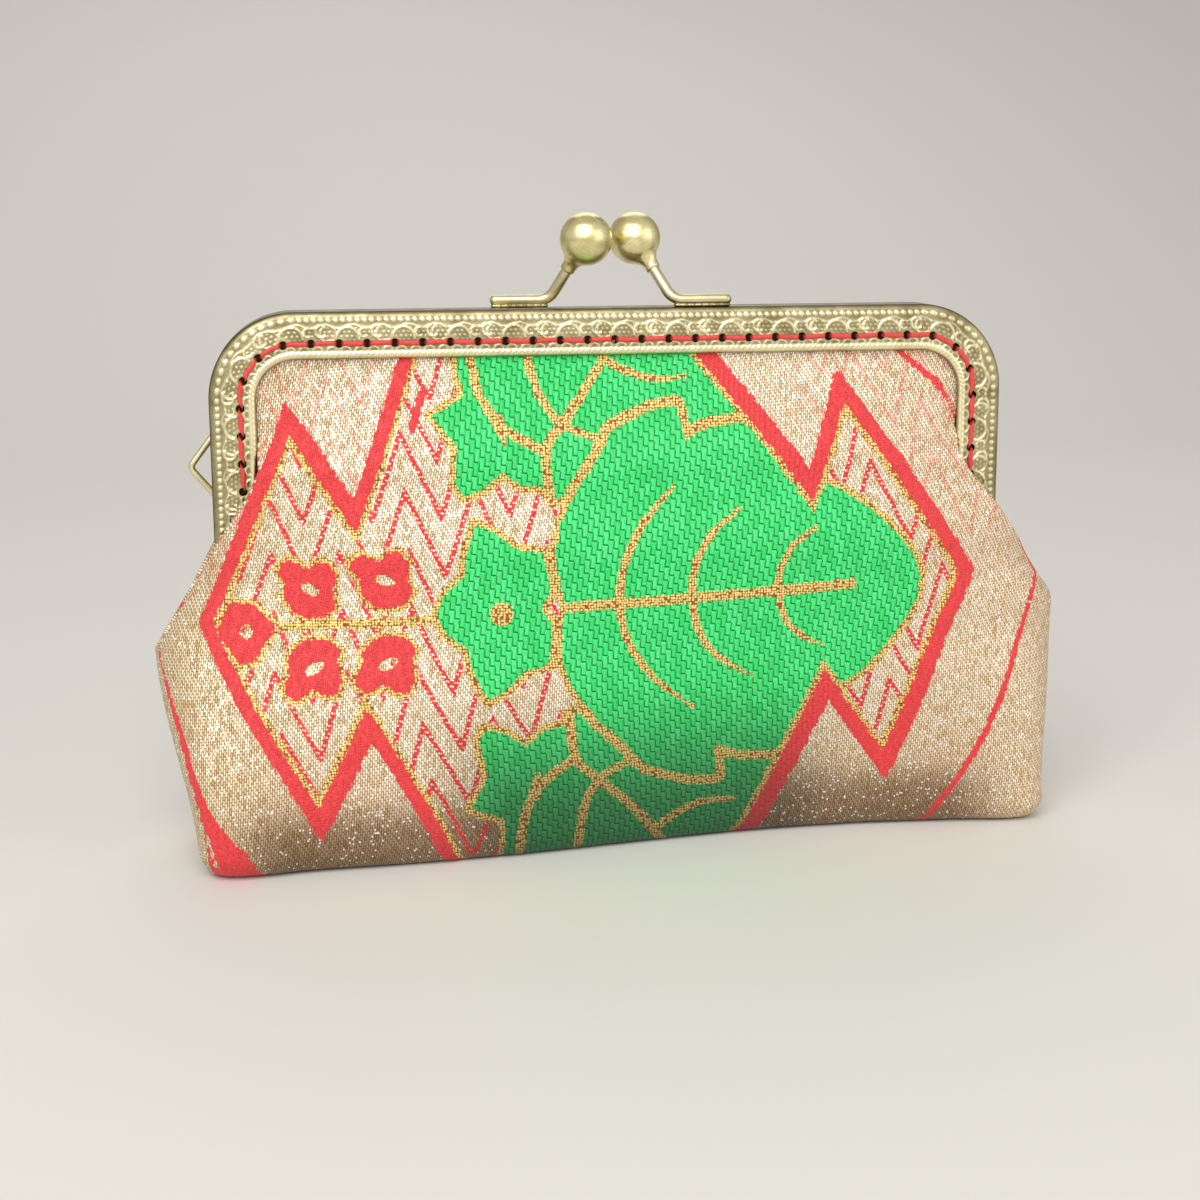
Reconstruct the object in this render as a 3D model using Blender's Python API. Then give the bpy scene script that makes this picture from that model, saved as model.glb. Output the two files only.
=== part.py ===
"""Kiss-lock frame purse in figured brocade.

Two pressed brass channels, hinged at their lower ends, hold a soft bag's top edges by a row of stitches.
A bent wire arm with a ball stands on each channel, and the two balls snap past each other to shut the purse.
The bag has a front and a back panel, each with its own lining, joined at the sides and along a flat bottom.
Metres, +Z up, the front faces -Y, and the origin is the middle of the bottom.
"""

import math

import bmesh
import bpy
from mathutils import Vector
from mathutils.geometry import delaunay_2d_cdt

MM = 0.001
GAP = 0.3 * MM  # air between pieces that touch in the real purse

# The frame: one channel of thin sheet on each side of the parting plane
FRAME_WIDTH = 150 * MM
FRAME_TOP = 101 * MM
CORNER_RADIUS = 16 * MM
FACE_WIDTH = 8.6 * MM  # the band that shows from outside
INNER_WIDTH = 7 * MM  # the narrower wall inside the purse
CHANNEL_DEPTH = 4.9 * MM  # outer face to parting plane
HALF_PARTING = 0.25 * MM
SHEET = 0.6 * MM
EDGE_ROUND = 1.4 * MM
BEAD_WIDTH = 1.2 * MM
BEAD_HEIGHT = 0.3 * MM
CORNER_STEPS = 6

# The hinges at the ends of the frame's arms
HINGE_HEIGHT = 55 * MM
EAR_RADIUS = 3.2 * MM
EAR_SHEET = 0.7 * MM
EAR_GAP = 0.4 * MM
EAR_INSET = 0.1 * MM
EAR_CLEARANCE = 0.7 * MM
NECK_NEAR = 1 * MM  # the neck's two sides, from the parting plane
NECK_FAR = 4 * MM
NECK_OVERLAP = 4 * MM
JOGGLE_RISE = 0.9 * MM
RIVET_RADIUS = 0.9 * MM
RIVET_HEAD_RADIUS = 1.9 * MM
RIVET_HEAD_HEIGHT = 0.8 * MM

# The stitches that hold the cloth in the channels
HOLE_PITCH = 5.1 * MM
HOLE_INSET = 5.7 * MM
HOLE_RADIUS = 0.95 * MM
HOLE_SIDES = 5
LAST_HOLE_HEIGHT = 70.5 * MM
THREAD_WIDTH = 1.1 * MM
THREAD_SIDES = 5
THREAD_DIP = 0.55 * MM  # how far a stitch sinks into its hole

# The clasp
WIRE_RADIUS = 1.05 * MM
BALL_RADIUS = 4.9 * MM
BALL_HEIGHT = 113.7 * MM
BALL_CLEARANCE = 0.14 * MM  # the balls pass side by side with this much air
BALL_CROSSING = 2.8 * MM  # how far each ball stands past the parting plane
FOOT_END = 22.6 * MM
KNEE = 11.4 * MM
KNEE_RADIUS = 3.6 * MM
COLLAR_LENGTH = 2.2 * MM
COLLAR_WIDE = 2.5 * MM
COLLAR_NARROW = 1.5 * MM

# The chain loops on the back channel's sides
LOOP_WIRE = 0.65 * MM
LOOP_REACH = 3 * MM
LOOP_HEIGHT = 72.6 * MM
LOOP_SPAN = 11 * MM

# The bag
CLOTH = 1 * MM
LINING = 0.6 * MM
CLOTH_DEPTH = 3.9 * MM  # the cloth's outer face inside the channel
LINING_GAP = 1.1 * MM
LINING_SLACK = 1.6 * MM  # how much further from the cloth the lining hangs below the frame
SEAM_GAP = 0.15 * MM  # half the gap between front and back cloth
CHANNEL_END_GAP = 0.5 * MM
BOTTOM_HALF_WIDTH = FRAME_WIDTH / 2 + 9 * MM
SHOULDER_HALF_WIDTH = FRAME_WIDTH / 2 + 13.5 * MM
UPPER_HALF_WIDTH = FRAME_WIDTH / 2 + 7 * MM  # the cloth's full curve behind the frame's arms
SHOULDER_HEIGHT = 42 * MM
SEAM_TOP = 43 * MM
HALF_DEPTH = 19 * MM
FOLD_RADIUS = 4 * MM
FOLD_DRAW = 1.5 * MM  # how much narrower the bottom is than the wall above it
BOTTOM_SQUARENESS = 7
SHOULDER_SQUARENESS = 2.4
FLAP_START = 71 * MM  # below this height the cloth swells over the arms
FLAP_END = 79.5 * MM  # above it the cloth lies in the channel
NOTCH_INSET = 2.8 * MM
SECTION_STEPS = 48
SECTION_TOLERANCE = 0.4 * MM  # how far a panel's flat pieces may cut inside the true curve
NORMAL_STEP = 0.2 * MM

# How the empty bag settles on its bottom: drawn in along the middle, out at the corners, turned and leaning
WAIST_DEPTH = 14.5 * MM
WAIST_FLARE = 2.4 * MM  # how much deeper it is at FLARE_REACH from the middle
FLARE_REACH = 55 * MM
CORNER_DEPTH = 4 * MM  # how much further the boxed corners stand out
CORNER_START = FRAME_WIDTH / 2 - 15 * MM
CORNER_END = FRAME_WIDTH / 2 + 10 * MM
BASE_TURN = 6 * MM  # the left end stands this far forward of the frame, the right end as far back
TURN_REACH = 50 * MM
BASE_LEAN = 4.5 * MM  # the bottom's shift to the right of the frame
SETTLED_BELOW = 62 * MM

# The woven figure, on the cloth: a stepped lozenge round a leaf
FIGURE_HEIGHT = 46.8 * MM
FIGURE_TILT = math.radians(1.8)
BAND_WIDTH = 3 * MM
BAND_DROP = 2.17  # a line drawn this much lower lies one unit further inside the band


def material(name, colour, roughness, metallic=0.0):
    made = bpy.data.materials.new(name)
    made.use_nodes = True
    shader = made.node_tree.nodes["Principled BSDF"]
    shader.inputs["Base Color"].default_value = (*colour, 1.0)
    shader.inputs["Roughness"].default_value = roughness
    shader.inputs["Metallic"].default_value = metallic
    made.diffuse_color = (*colour, 1.0)
    return made


def new_object(name, data, *materials):
    made = bpy.data.objects.new(name, data)
    bpy.context.scene.collection.objects.link(made)
    for one in materials:
        data.materials.append(one)
    return made


def mesh_object(name, bm, *materials):
    bmesh.ops.recalc_face_normals(bm, faces=bm.faces)
    mesh = bpy.data.meshes.new(name)
    bm.to_mesh(mesh)
    bm.free()
    mesh.shade_smooth()
    mesh.set_sharp_from_angle(angle=math.radians(35))
    return new_object(name, mesh, *materials)


def hidden(obj):
    """A cutter or a guide: it shapes another object and is no piece itself."""
    obj.hide_render = True
    obj.display_type = "WIRE"
    return obj


def boolean(obj, operation, other):
    modifier = obj.modifiers.new(f"{operation} {other.name}", "BOOLEAN")
    modifier.operation = operation
    modifier.object = other
    modifier.solver = "EXACT"


def skin(rings, closed_ends=True):
    """A bmesh through rings of as many points each, with a flat cap at each end."""
    bm = bmesh.new()
    loops = [[bm.verts.new(p) for p in ring] for ring in rings]
    count = len(rings[0])
    for low, high in zip(loops, loops[1:]):
        for i in range(count):
            j = (i + 1) % count
            bm.faces.new((low[i], low[j], high[j], high[i]))
    if closed_ends:
        bm.faces.new(loops[0])
        bm.faces.new(loops[-1])
    return bm


def turned(name, profile, steps, surface):
    """A solid turned about its own Z, from (radius, height) points whose first and last lie on the axis."""
    bm = bmesh.new()
    outline = [bm.verts.new((radius, 0, height)) for radius, height in profile]
    edges = [bm.edges.new(pair) for pair in zip(outline, outline[1:])]
    bmesh.ops.spin(bm, geom=outline + edges, cent=(0, 0, 0), axis=(0, 0, 1), angle=math.tau,
                   steps=steps, use_merge=False, use_duplicate=False)
    bmesh.ops.remove_doubles(bm, verts=bm.verts, dist=0.001 * MM)
    bmesh.ops.dissolve_degenerate(bm, edges=bm.edges, dist=0.001 * MM)
    return mesh_object(name, bm, surface)


def wire(name, points, radius, surface):
    """A round wire along the points."""
    curve = bpy.data.curves.new(name, "CURVE")
    curve.dimensions = "3D"
    curve.bevel_depth = radius
    curve.bevel_resolution = 2
    curve.use_fill_caps = True
    spline = curve.splines.new("POLY")
    spline.points.add(len(points) - 1)
    for point, place in zip(spline.points, points):
        point.co = (*place, 1)
    return new_object(name, curve, surface)


def rounded(start, corner, end, radius, steps=5):
    """The path start-corner-end with its corner turned into an arc."""
    back, on = (start - corner).normalized(), (end - corner).normalized()
    half = back.angle(on) / 2
    reach = radius / math.tan(half)
    centre = corner + (back + on).normalized() * (radius / math.sin(half))
    first, last = (corner + back * reach - centre).normalized(), (corner + on * reach - centre).normalized()
    arc = [centre + first.slerp(last, i / steps) * radius for i in range(steps + 1)]
    return [start, *arc, end]


# Frame channels

def arch(distance, inset):
    """(x, z) and the inward direction at a distance from the middle of the frame's top, inset from its edge."""
    flat = FRAME_WIDTH / 2 - CORNER_RADIUS
    radius = CORNER_RADIUS - inset
    along = abs(distance)
    bend = radius * math.pi / 2
    if along <= flat:
        x, z, inward = along, FRAME_TOP - inset, (0, -1)
    elif along <= flat + bend:
        turn = (along - flat) / radius
        x = flat + radius * math.sin(turn)
        z = FRAME_TOP - CORNER_RADIUS + radius * math.cos(turn)
        inward = (-math.sin(turn), -math.cos(turn))
    else:
        x, z, inward = FRAME_WIDTH / 2 - inset, FRAME_TOP - CORNER_RADIUS - (along - flat - bend), (-1, 0)
    sign = math.copysign(1, distance)
    return sign * x, z, (sign * inward[0], inward[1])


def arch_length(inset, height):
    """How far it is along the frame at that inset, from the middle of its top to a height on its arm."""
    return (FRAME_WIDTH / 2 - CORNER_RADIUS + (CORNER_RADIUS - inset) * math.pi / 2
            + FRAME_TOP - CORNER_RADIUS - height)


def arch_stations(inset, height):
    """Distances along the frame that follow its two corners, from the left arm's end to the right one's."""
    flat = FRAME_WIDTH / 2 - CORNER_RADIUS
    bend = (CORNER_RADIUS - inset) * math.pi / 2
    right = [flat + bend * i / CORNER_STEPS for i in range(CORNER_STEPS + 1)] + [arch_length(inset, height)]
    return [-d for d in reversed(right)] + right


def channel_section():
    """The bent sheet as (inset from the frame's edge, depth from the parting plane), once round."""
    face = CHANNEL_DEPTH
    turns = [math.radians(a) for a in (180, 150, 120, 90)]
    outer = [(EDGE_ROUND * (1 + math.cos(a)), face + EDGE_ROUND * (math.sin(a) - 1)) for a in turns]
    inner_round = EDGE_ROUND - SHEET
    inner = [(EDGE_ROUND + inner_round * math.cos(a), face - EDGE_ROUND + inner_round * math.sin(a))
             for a in reversed(turns)]
    bead = [(FACE_WIDTH - BEAD_WIDTH, face), (FACE_WIDTH - 0.75 * BEAD_WIDTH, face + BEAD_HEIGHT),
            (FACE_WIDTH - 0.25 * BEAD_WIDTH, face + BEAD_HEIGHT), (FACE_WIDTH, face)]
    return [(0, HALF_PARTING), *outer, *bead, (FACE_WIDTH, face - SHEET), *inner,
            (SHEET, HALF_PARTING + SHEET), (INNER_WIDTH, HALF_PARTING + SHEET), (INNER_WIDTH, HALF_PARTING)]


def arm_end():
    """The channels stop clear of the other half's turning ear."""
    return HINGE_HEIGHT + EAR_RADIUS + EAR_CLEARANCE


def channel_mesh(side):
    rings = []
    for distance in arch_stations(0, arm_end()):
        x, z, inward = arch(distance, 0)
        rings.append([(x + inset * inward[0], side * depth, z + inset * inward[1])
                      for inset, depth in channel_section()])
    return skin(rings)


def ear_outer_face(joggled):
    """How far the ear's outer face is from the purse's middle. A joggled ear lies inside the plain one."""
    return FRAME_WIDTH / 2 - EAR_INSET - (EAR_SHEET + EAR_GAP if joggled else 0)


def ear(name, side, end, joggled):
    """The round ear of one arm and the neck that carries it, stepped inwards where it is joggled."""
    outer, plain = ear_outer_face(joggled), ear_outer_face(False)
    inner = outer - EAR_SHEET
    low = arm_end() + (EAR_CLEARANCE if joggled else 0)
    top = arm_end() + NECK_OVERLAP
    across = [(outer, HINGE_HEIGHT), (outer, low), (plain, low + JOGGLE_RISE), (plain, top),
              (inner, top), (inner, HINGE_HEIGHT)]
    if not joggled:
        across = [(outer, HINGE_HEIGHT), (outer, top), (inner, top), (inner, HINGE_HEIGHT)]
    neck = skin([[(end * x, side * depth, z) for x, z in across] for depth in (NECK_NEAR, NECK_FAR)])
    neck = hidden(mesh_object(f"{name}_neck", neck))
    turns = [math.tau * i / 20 for i in range(20)]
    disc = skin([[(end * x, EAR_RADIUS * math.cos(a), HINGE_HEIGHT + EAR_RADIUS * math.sin(a)) for a in turns]
                 for x in (inner, outer)])
    disc = hidden(mesh_object(f"{name}_disc", disc))
    return neck, disc


def hole_distances():
    """Where the stitch holes lie along the frame: one in the middle of the top, and as many each side as fit."""
    each_side = int(arch_length(HOLE_INSET, LAST_HOLE_HEIGHT) / HOLE_PITCH)
    return [HOLE_PITCH * i for i in range(-each_side, each_side + 1)]


def hole_cutter(name, side):
    """Short drills through the channel's outer wall, all in one mesh."""
    bm = bmesh.new()
    for distance in hole_distances():
        x, z, _ = arch(distance, HOLE_INSET)
        turns = [math.tau * i / HOLE_SIDES for i in range(HOLE_SIDES)]
        ends = [[bm.verts.new((x + HOLE_RADIUS * math.cos(a), side * depth, z + HOLE_RADIUS * math.sin(a)))
                 for a in turns] for depth in (CHANNEL_DEPTH - 2 * SHEET, CHANNEL_DEPTH + SHEET)]
        for i in range(HOLE_SIDES):
            j = (i + 1) % HOLE_SIDES
            bm.faces.new((ends[0][i], ends[0][j], ends[1][j], ends[1][i]))
        bm.faces.new(ends[0])
        bm.faces.new(ends[1])
    return hidden(mesh_object(name, bm))


def pin_cutter(name, end):
    """The rivet's hole through both ears of one hinge."""
    radius = RIVET_RADIUS + GAP
    turns = [math.tau * i / 12 for i in range(12)]
    ears_middle = FRAME_WIDTH / 2 - EAR_INSET - EAR_SHEET
    rings = [[(end * (ears_middle + reach), radius * math.cos(a), HINGE_HEIGHT + radius * math.sin(a))
              for a in turns] for reach in (-3 * EAR_SHEET, 3 * EAR_SHEET)]
    return hidden(mesh_object(name, skin(rings)))


def frame_half(name, side, joggled, brass):
    half = mesh_object(name, channel_mesh(side), brass)
    for end, where in ((-1, "left"), (1, "right")):
        for piece in ear(f"{name}_{where}_ear", side, end, joggled):
            boolean(half, "UNION", piece)
    boolean(half, "DIFFERENCE", hole_cutter(f"{name}_holes", side))
    for end, where in ((-1, "left"), (1, "right")):
        boolean(half, "DIFFERENCE", pin_cutter(f"{name}_{where}_pin_hole", end))
    return half


def hinge_rivet(name, end, steel):
    """A rivet with a flat head inside and a domed one outside."""
    outside = ear_outer_face(False) + GAP
    inside = ear_outer_face(True) - EAR_SHEET - GAP
    shoulder = 0.5 * RIVET_HEAD_HEIGHT
    profile = [(0, inside - RIVET_HEAD_HEIGHT), (RIVET_HEAD_RADIUS, inside - RIVET_HEAD_HEIGHT),
               (RIVET_HEAD_RADIUS, inside), (RIVET_RADIUS, inside), (RIVET_RADIUS, outside),
               (RIVET_HEAD_RADIUS, outside), (RIVET_HEAD_RADIUS, outside + shoulder),
               (0.6 * RIVET_HEAD_RADIUS, outside + RIVET_HEAD_HEIGHT), (0, outside + RIVET_HEAD_HEIGHT)]
    rivet = turned(name, profile, 12, steel)
    rivet.location = (0, 0, HINGE_HEIGHT)
    rivet.rotation_euler = (0, end * math.pi / 2, 0)
    return rivet


def stitching(name, side, thread):
    """One thread along the channel: it lies over the face between holes and sinks into each hole."""
    climb = HOLE_RADIUS - GAP / 2
    lying = CHANNEL_DEPTH + GAP
    sunk = CHANNEL_DEPTH - THREAD_DIP
    stations = []
    for distance in hole_distances():
        stations += [(distance - climb, lying), (distance, sunk), (distance + climb, lying)]
    turns = [math.tau * i / THREAD_SIDES for i in range(THREAD_SIDES)]
    rings = []
    for distance, low in stations[1:-1]:
        x, z, inward = arch(distance, HOLE_INSET)
        half = THREAD_WIDTH / 2
        rings.append([(x + half * math.cos(a) * inward[0], side * (low + half + half * math.sin(a)),
                       z + half * math.cos(a) * inward[1]) for a in turns])
    return mesh_object(name, skin(rings), thread)


# Clasp and chain loops

def ball_centre(end, side):
    """Each ball stands past the parting plane, on the other half's side."""
    return Vector((end * (BALL_RADIUS + BALL_CLEARANCE / 2), -side * BALL_CROSSING, BALL_HEIGHT))


def clasp(name, end, side, brass):
    """The wire arm on one channel and the turned ball on its tip."""
    foot_depth = side * CHANNEL_DEPTH / 2
    foot_height = FRAME_TOP + GAP + WIRE_RADIUS
    knee = Vector((end * KNEE, foot_depth, foot_height))
    ball = ball_centre(end, side)
    lean = (ball - knee).normalized()
    collar_end = BALL_RADIUS + COLLAR_LENGTH
    tip = ball - lean * (collar_end + GAP)
    path = rounded(Vector((end * FOOT_END, foot_depth, foot_height)), knee, tip, KNEE_RADIUS)
    wire(f"{name}_arm", path, WIRE_RADIUS, brass)
    shoulder = math.asin(COLLAR_WIDE / BALL_RADIUS)
    turns = [math.pi - shoulder - (math.pi - shoulder) * i / 9 for i in range(9)]
    dome = [(BALL_RADIUS * math.sin(a), BALL_RADIUS * math.cos(a)) for a in turns]
    profile = [(0, -collar_end), (COLLAR_NARROW, -collar_end), *dome, (0, BALL_RADIUS)]
    made = turned(f"{name}_ball", profile, 16, brass)
    made.location = ball
    made.rotation_mode = "QUATERNION"
    made.rotation_quaternion = lean.to_track_quat("Z", "Y")


def chain_loop(name, end, brass):
    """A bent wire eye on the back channel's side, brazed at both feet."""
    side_face = FRAME_WIDTH / 2 + GAP + LOOP_WIRE
    peak = side_face + LOOP_REACH
    depth = CHANNEL_DEPTH / 2
    steps = 10
    points = []
    for i in range(steps + 1):
        share = 2 * i / steps - 1
        reach = side_face + LOOP_REACH * (1 - abs(share) ** 1.4)
        points.append((end * min(reach, peak), depth, LOOP_HEIGHT + share * LOOP_SPAN / 2))
    return wire(name, points, LOOP_WIRE, brass)


# The bag's cloth

def ease(value, low, high):
    share = min(max((value - low) / (high - low), 0), 1)
    return share * share * (3 - 2 * share)


def through(value, stops):
    """A smooth run through (place, amount) stops."""
    for (low, first), (high, last) in zip(stops, stops[1:]):
        if value <= high:
            return first + (last - first) * ease(value, low, high)
    return stops[-1][1]


def half_width(height):
    return through(height, [(0, BOTTOM_HALF_WIDTH - FOLD_DRAW), (FOLD_RADIUS, BOTTOM_HALF_WIDTH),
                            (SHOULDER_HEIGHT, SHOULDER_HALF_WIDTH), (HINGE_HEIGHT, UPPER_HALF_WIDTH)])


def half_depth(height):
    """How far the cloth stands from the parting plane at the purse's middle."""
    face_edge = FRAME_TOP - FACE_WIDTH
    swell = [(0, HALF_DEPTH), (0.3 * face_edge, HALF_DEPTH), (HINGE_HEIGHT, 0.84 * HALF_DEPTH),
             (FLAP_START, 0.68 * HALF_DEPTH), (face_edge, CLOTH_DEPTH)]
    return through(height, swell)


def squareness(height):
    return through(height, [(0, BOTTOM_SQUARENESS), (SHOULDER_HEIGHT, SHOULDER_SQUARENESS)])


def level(run):
    """Height, half width and half depth of the cloth's section at a run up from the bottom seam."""
    flat = HALF_DEPTH - FOLD_RADIUS
    fold = FOLD_RADIUS * math.pi / 2
    if run < flat:
        short = flat - max(run, 0)
        return 0, half_width(0) - short, flat - short
    if run < flat + fold:
        turn = (run - flat) / FOLD_RADIUS
        height = FOLD_RADIUS * (1 - math.cos(turn))
        return height, half_width(height), flat + FOLD_RADIUS * math.sin(turn)
    height = FOLD_RADIUS + run - flat - fold
    return height, half_width(height), half_depth(height)


def run_at(height):
    """The run up the cloth at which it reaches a height above the bottom fold."""
    return HALF_DEPTH - FOLD_RADIUS + FOLD_RADIUS * math.pi / 2 + height - FOLD_RADIUS


def section(run):
    """Points (x, depth) of the cloth's level section, from the purse's middle to its side."""
    height, wide, deep = level(run)
    power = squareness(height)
    held = ease(height, FLAP_START, FLAP_END)
    opening = FRAME_WIDTH / 2 - FACE_WIDTH
    points = []
    for i in range(SECTION_STEPS + 1):
        low, high = (i / SECTION_STEPS) ** (power / 2), (1 - i / SECTION_STEPS) ** (power / 2)
        turn = math.pi / 2 * low / (low + high)
        x = wide * math.sin(turn) ** (2 / power)
        free = deep * max(math.cos(turn), 0) ** (2 / power)
        in_channel = CLOTH_DEPTH + (deep - CLOTH_DEPTH) * max(1 - (x / opening) ** 4, 0)
        points.append((x, SEAM_GAP + max(free * (1 - held) + in_channel * held - SEAM_GAP, 0)))
    return height, points


def lengths(points):
    total, found = 0.0, [0.0]
    for a, b in zip(points, points[1:]):
        total += math.dist(a, b)
        found.append(total)
    return found


def spread(run, step):
    """Distances across the cloth at one level, close together only where the section turns."""
    _, points = section(run)
    found = lengths(points)
    made, start = [0], 0
    while start < SECTION_STEPS:
        end = start + 1
        while end < SECTION_STEPS and found[end + 1] - found[start] <= step:
            a, b = Vector(points[start]), Vector(points[end + 1])
            across = Vector((a.y - b.y, b.x - a.x)).normalized()
            if max(abs((Vector(p) - a).dot(across)) for p in points[start:end + 2]) > SECTION_TOLERANCE:
                break
            end += 1
        made.append(found[end])
        start = end
    return made[:-1]


def rows(top, step):
    """Runs up the cloth: three over the flat bottom, four round the fold, and even ones above."""
    flat, fold = HALF_DEPTH - FOLD_RADIUS, FOLD_RADIUS * math.pi / 2
    made = [flat / 2, flat] + [flat + fold * i / 3 for i in (1, 2, 3)]
    count = round((top - made[-1]) / step)
    return made + [made[-1] + (top - made[-1]) * i / count for i in range(1, count)]


def across_at(x, run):
    """How far it is along the cloth's section from the middle out to x."""
    _, points = section(run)
    found = lengths(points)
    for (a, b), (start, end) in zip(zip(points, points[1:]), zip(found, found[1:])):
        if b[0] >= abs(x) and b[0] > a[0]:
            return math.copysign(start + (end - start) * (abs(x) - a[0]) / (b[0] - a[0]), x)
    return math.copysign(found[-1], x)


def side_end(run):
    return lengths(section(run)[1])[-1]


class Cloth:
    """The outer face of one side's cloth: a place for each (across, run) on the flat cloth."""

    def __init__(self, side):
        self.side = side
        self.sections = {}

    def place(self, across, run):
        key = round(run / (0.01 * MM))
        if key not in self.sections:
            height, points = section(run)
            self.sections[key] = (height, points, lengths(points))
        height, points, found = self.sections[key]
        reach = min(abs(across), found[-1])
        i = next(k for k in range(1, len(found)) if found[k] >= reach or k == len(found) - 1)
        share = (reach - found[i - 1]) / max(found[i] - found[i - 1], 1e-12)
        x = points[i - 1][0] + share * (points[i][0] - points[i - 1][0])
        depth = points[i - 1][1] + share * (points[i][1] - points[i - 1][1])
        return Vector((math.copysign(x, across), self.side * depth, height))

    def inward(self, across, run):
        """The direction from the cloth's face into the purse."""
        inner = across - math.copysign(NORMAL_STEP, across)
        along = (self.place(across, run) - self.place(inner, run)) * math.copysign(1, across)
        up = self.place(across, run + NORMAL_STEP) - self.place(across, max(run - NORMAL_STEP, 0))
        return (up.cross(along) * -self.side).normalized()

    def sheet_point(self, across, run, below, slack):
        place = self.place(across, run)
        below += slack * (1 - ease(place.z, HINGE_HEIGHT, FLAP_START))
        point = place + self.inward(across, run) * below
        point.y = self.side * max(self.side * point.y, SEAM_GAP)
        point.z = max(point.z, below if run < HALF_DEPTH - FOLD_RADIUS else 0)
        return settled(point)


def settled(point):
    """Where a point of the evenly filled bag lies once it stands empty."""
    low = 1 - ease(point.z, FOLD_RADIUS, SETTLED_BELOW)
    reach = abs(point.x)
    depth = (WAIST_DEPTH + WAIST_FLARE * (reach / FLARE_REACH) ** 2
             + CORNER_DEPTH * ease(reach, CORNER_START, CORNER_END))
    turn = math.copysign(BASE_TURN * math.sin(math.pi / 2 * min(reach / TURN_REACH, 1)), point.x)
    lean = BASE_LEAN * (1 - ease(point.z, 0, SHOULDER_HEIGHT))
    return Vector((point.x + lean, point.y * (1 + low * (depth / HALF_DEPTH - 1)) + low * turn, point.z))


def inside(point, polygon):
    x, y = point
    odd = False
    for (ax, ay), (bx, by) in zip(polygon, polygon[1:] + polygon[:1]):
        if (ay > y) != (by > y) and x < ax + (y - ay) * (bx - ax) / (by - ay):
            odd = not odd
    return odd


def near_any(point, segments, distance):
    p = Vector(point)
    for a, b in segments:
        a, b = Vector(a), Vector(b)
        run = b - a
        share = min(max((p - a).dot(run) / max(run.length_squared, 1e-18), 0), 1)
        if (a + run * share - p).length < distance:
            return True
    return False


def sheet(name, side, outline, fields, below, slack, thickness, step, *materials):
    """A closed sheet of cloth over its flat outline. Each (material, outline) field colours what it covers."""
    cloth = Cloth(side)
    levels = rows(max(p[1] for p in outline), step)
    loops = [outline]
    for _, polygon in fields:
        loops.append(split_at(levels[1:5], spaced(polygon + polygon[:1], 1.5 * step)[:-1]))
    points, edges = [], []
    for loop in loops:
        first = len(points)
        points += [Vector(p) for p in loop]
        edges += [(first + i, first + (i + 1) % len(loop)) for i in range(len(loop))]
    crease = spaced(crease_at_frame(), step)
    edges += [(len(points) + i, len(points) + i + 1) for i in range(len(crease) - 1)]
    points += [Vector(p) for p in crease]
    segments = [(points[a], points[b]) for a, b in edges]
    for run in levels:
        for across in spread(run, step):
            for spot in {(across, run), (-across, run)}:
                if inside(spot, outline) and not near_any(spot, segments, 0.15 * step):
                    points.append(Vector(spot))
    flat, _, triangles, *_ = delaunay_2d_cdt(points, edges, [], 0, 0.001 * MM)
    bm = bmesh.new()
    outer = [bm.verts.new(cloth.sheet_point(p[0], p[1], below, slack)) for p in flat]
    inner = [bm.verts.new(cloth.sheet_point(p[0], p[1], below + thickness, slack)) for p in flat]
    directed = {}
    for triangle in triangles:
        middle = sum((flat[i] for i in triangle), Vector((0, 0))) / 3
        if not inside(middle, outline):
            continue
        shade = next((m for m, polygon in reversed(fields) if inside(middle, polygon)), 0)
        bm.faces.new([outer[i] for i in triangle]).material_index = shade
        bm.faces.new([inner[i] for i in reversed(triangle)])
        for a, b in zip(triangle, (*triangle[1:], triangle[0])):
            directed[a, b] = True
    for a, b in directed:
        if (b, a) not in directed:
            bm.faces.new((outer[b], outer[a], inner[a], inner[b]))
    bmesh.ops.delete(bm, geom=[v for v in bm.verts if not v.link_faces], context="VERTS")
    return mesh_object(name, bm, *materials)


def spaced(points, step):
    """The same polyline with no run between points longer than the step."""
    made = []
    for a, b in zip(points, points[1:]):
        count = max(1, math.ceil(math.dist(a, b) / step))
        made += [(a[0] + (b[0] - a[0]) * i / count, a[1] + (b[1] - a[1]) * i / count) for i in range(count)]
    return made + [points[-1]]


def split_at(levels, loop):
    """The closed outline with a point added wherever it crosses one of the levels."""
    made = []
    for a, b in zip(loop, loop[1:] + loop[:1]):
        crossed = [level for level in levels if (a[1] - level) * (b[1] - level) < 0]
        shares = sorted((level - a[1]) / (b[1] - a[1]) for level in crossed)
        made += [a] + [(a[0] + (b[0] - a[0]) * share, a[1] + (b[1] - a[1]) * share) for share in shares]
    return made


def mirrored(right):
    """A closed outline from its right half, which runs from the bottom's middle to the top's middle."""
    return right + [(-x, z) for x, z in reversed(right) if abs(x) > 1e-9]


def edge_up_the_side(top_height, step):
    """The side seam on the flat cloth, from the bottom seam up to a height."""
    top = run_at(top_height)
    return [(side_end(run), run) for run in [0, *rows(top, step), top]]


def arch_on_cloth(inset, low):
    """The cloth's edge inside the channel, from a height on the arm to the middle of the top."""
    made = []
    for distance in reversed(arch_stations(inset, low)):
        if distance <= 0:
            break
        x, z, _ = arch(distance, inset)
        made.append((across_at(x, run_at(z)), run_at(z)))
    return made


def crease_at_frame():
    """The line where the cloth comes out of the channel, from one notch over the top to the other."""
    inset = FACE_WIDTH + GAP
    right = [(across_at(x, run_at(z)), run_at(z)) for x, z, _ in
             (arch(d, inset) for d in arch_stations(inset, FLAP_END + GAP) if d > 0)]
    return [(-a, run) for a, run in reversed(right)] + right


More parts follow.
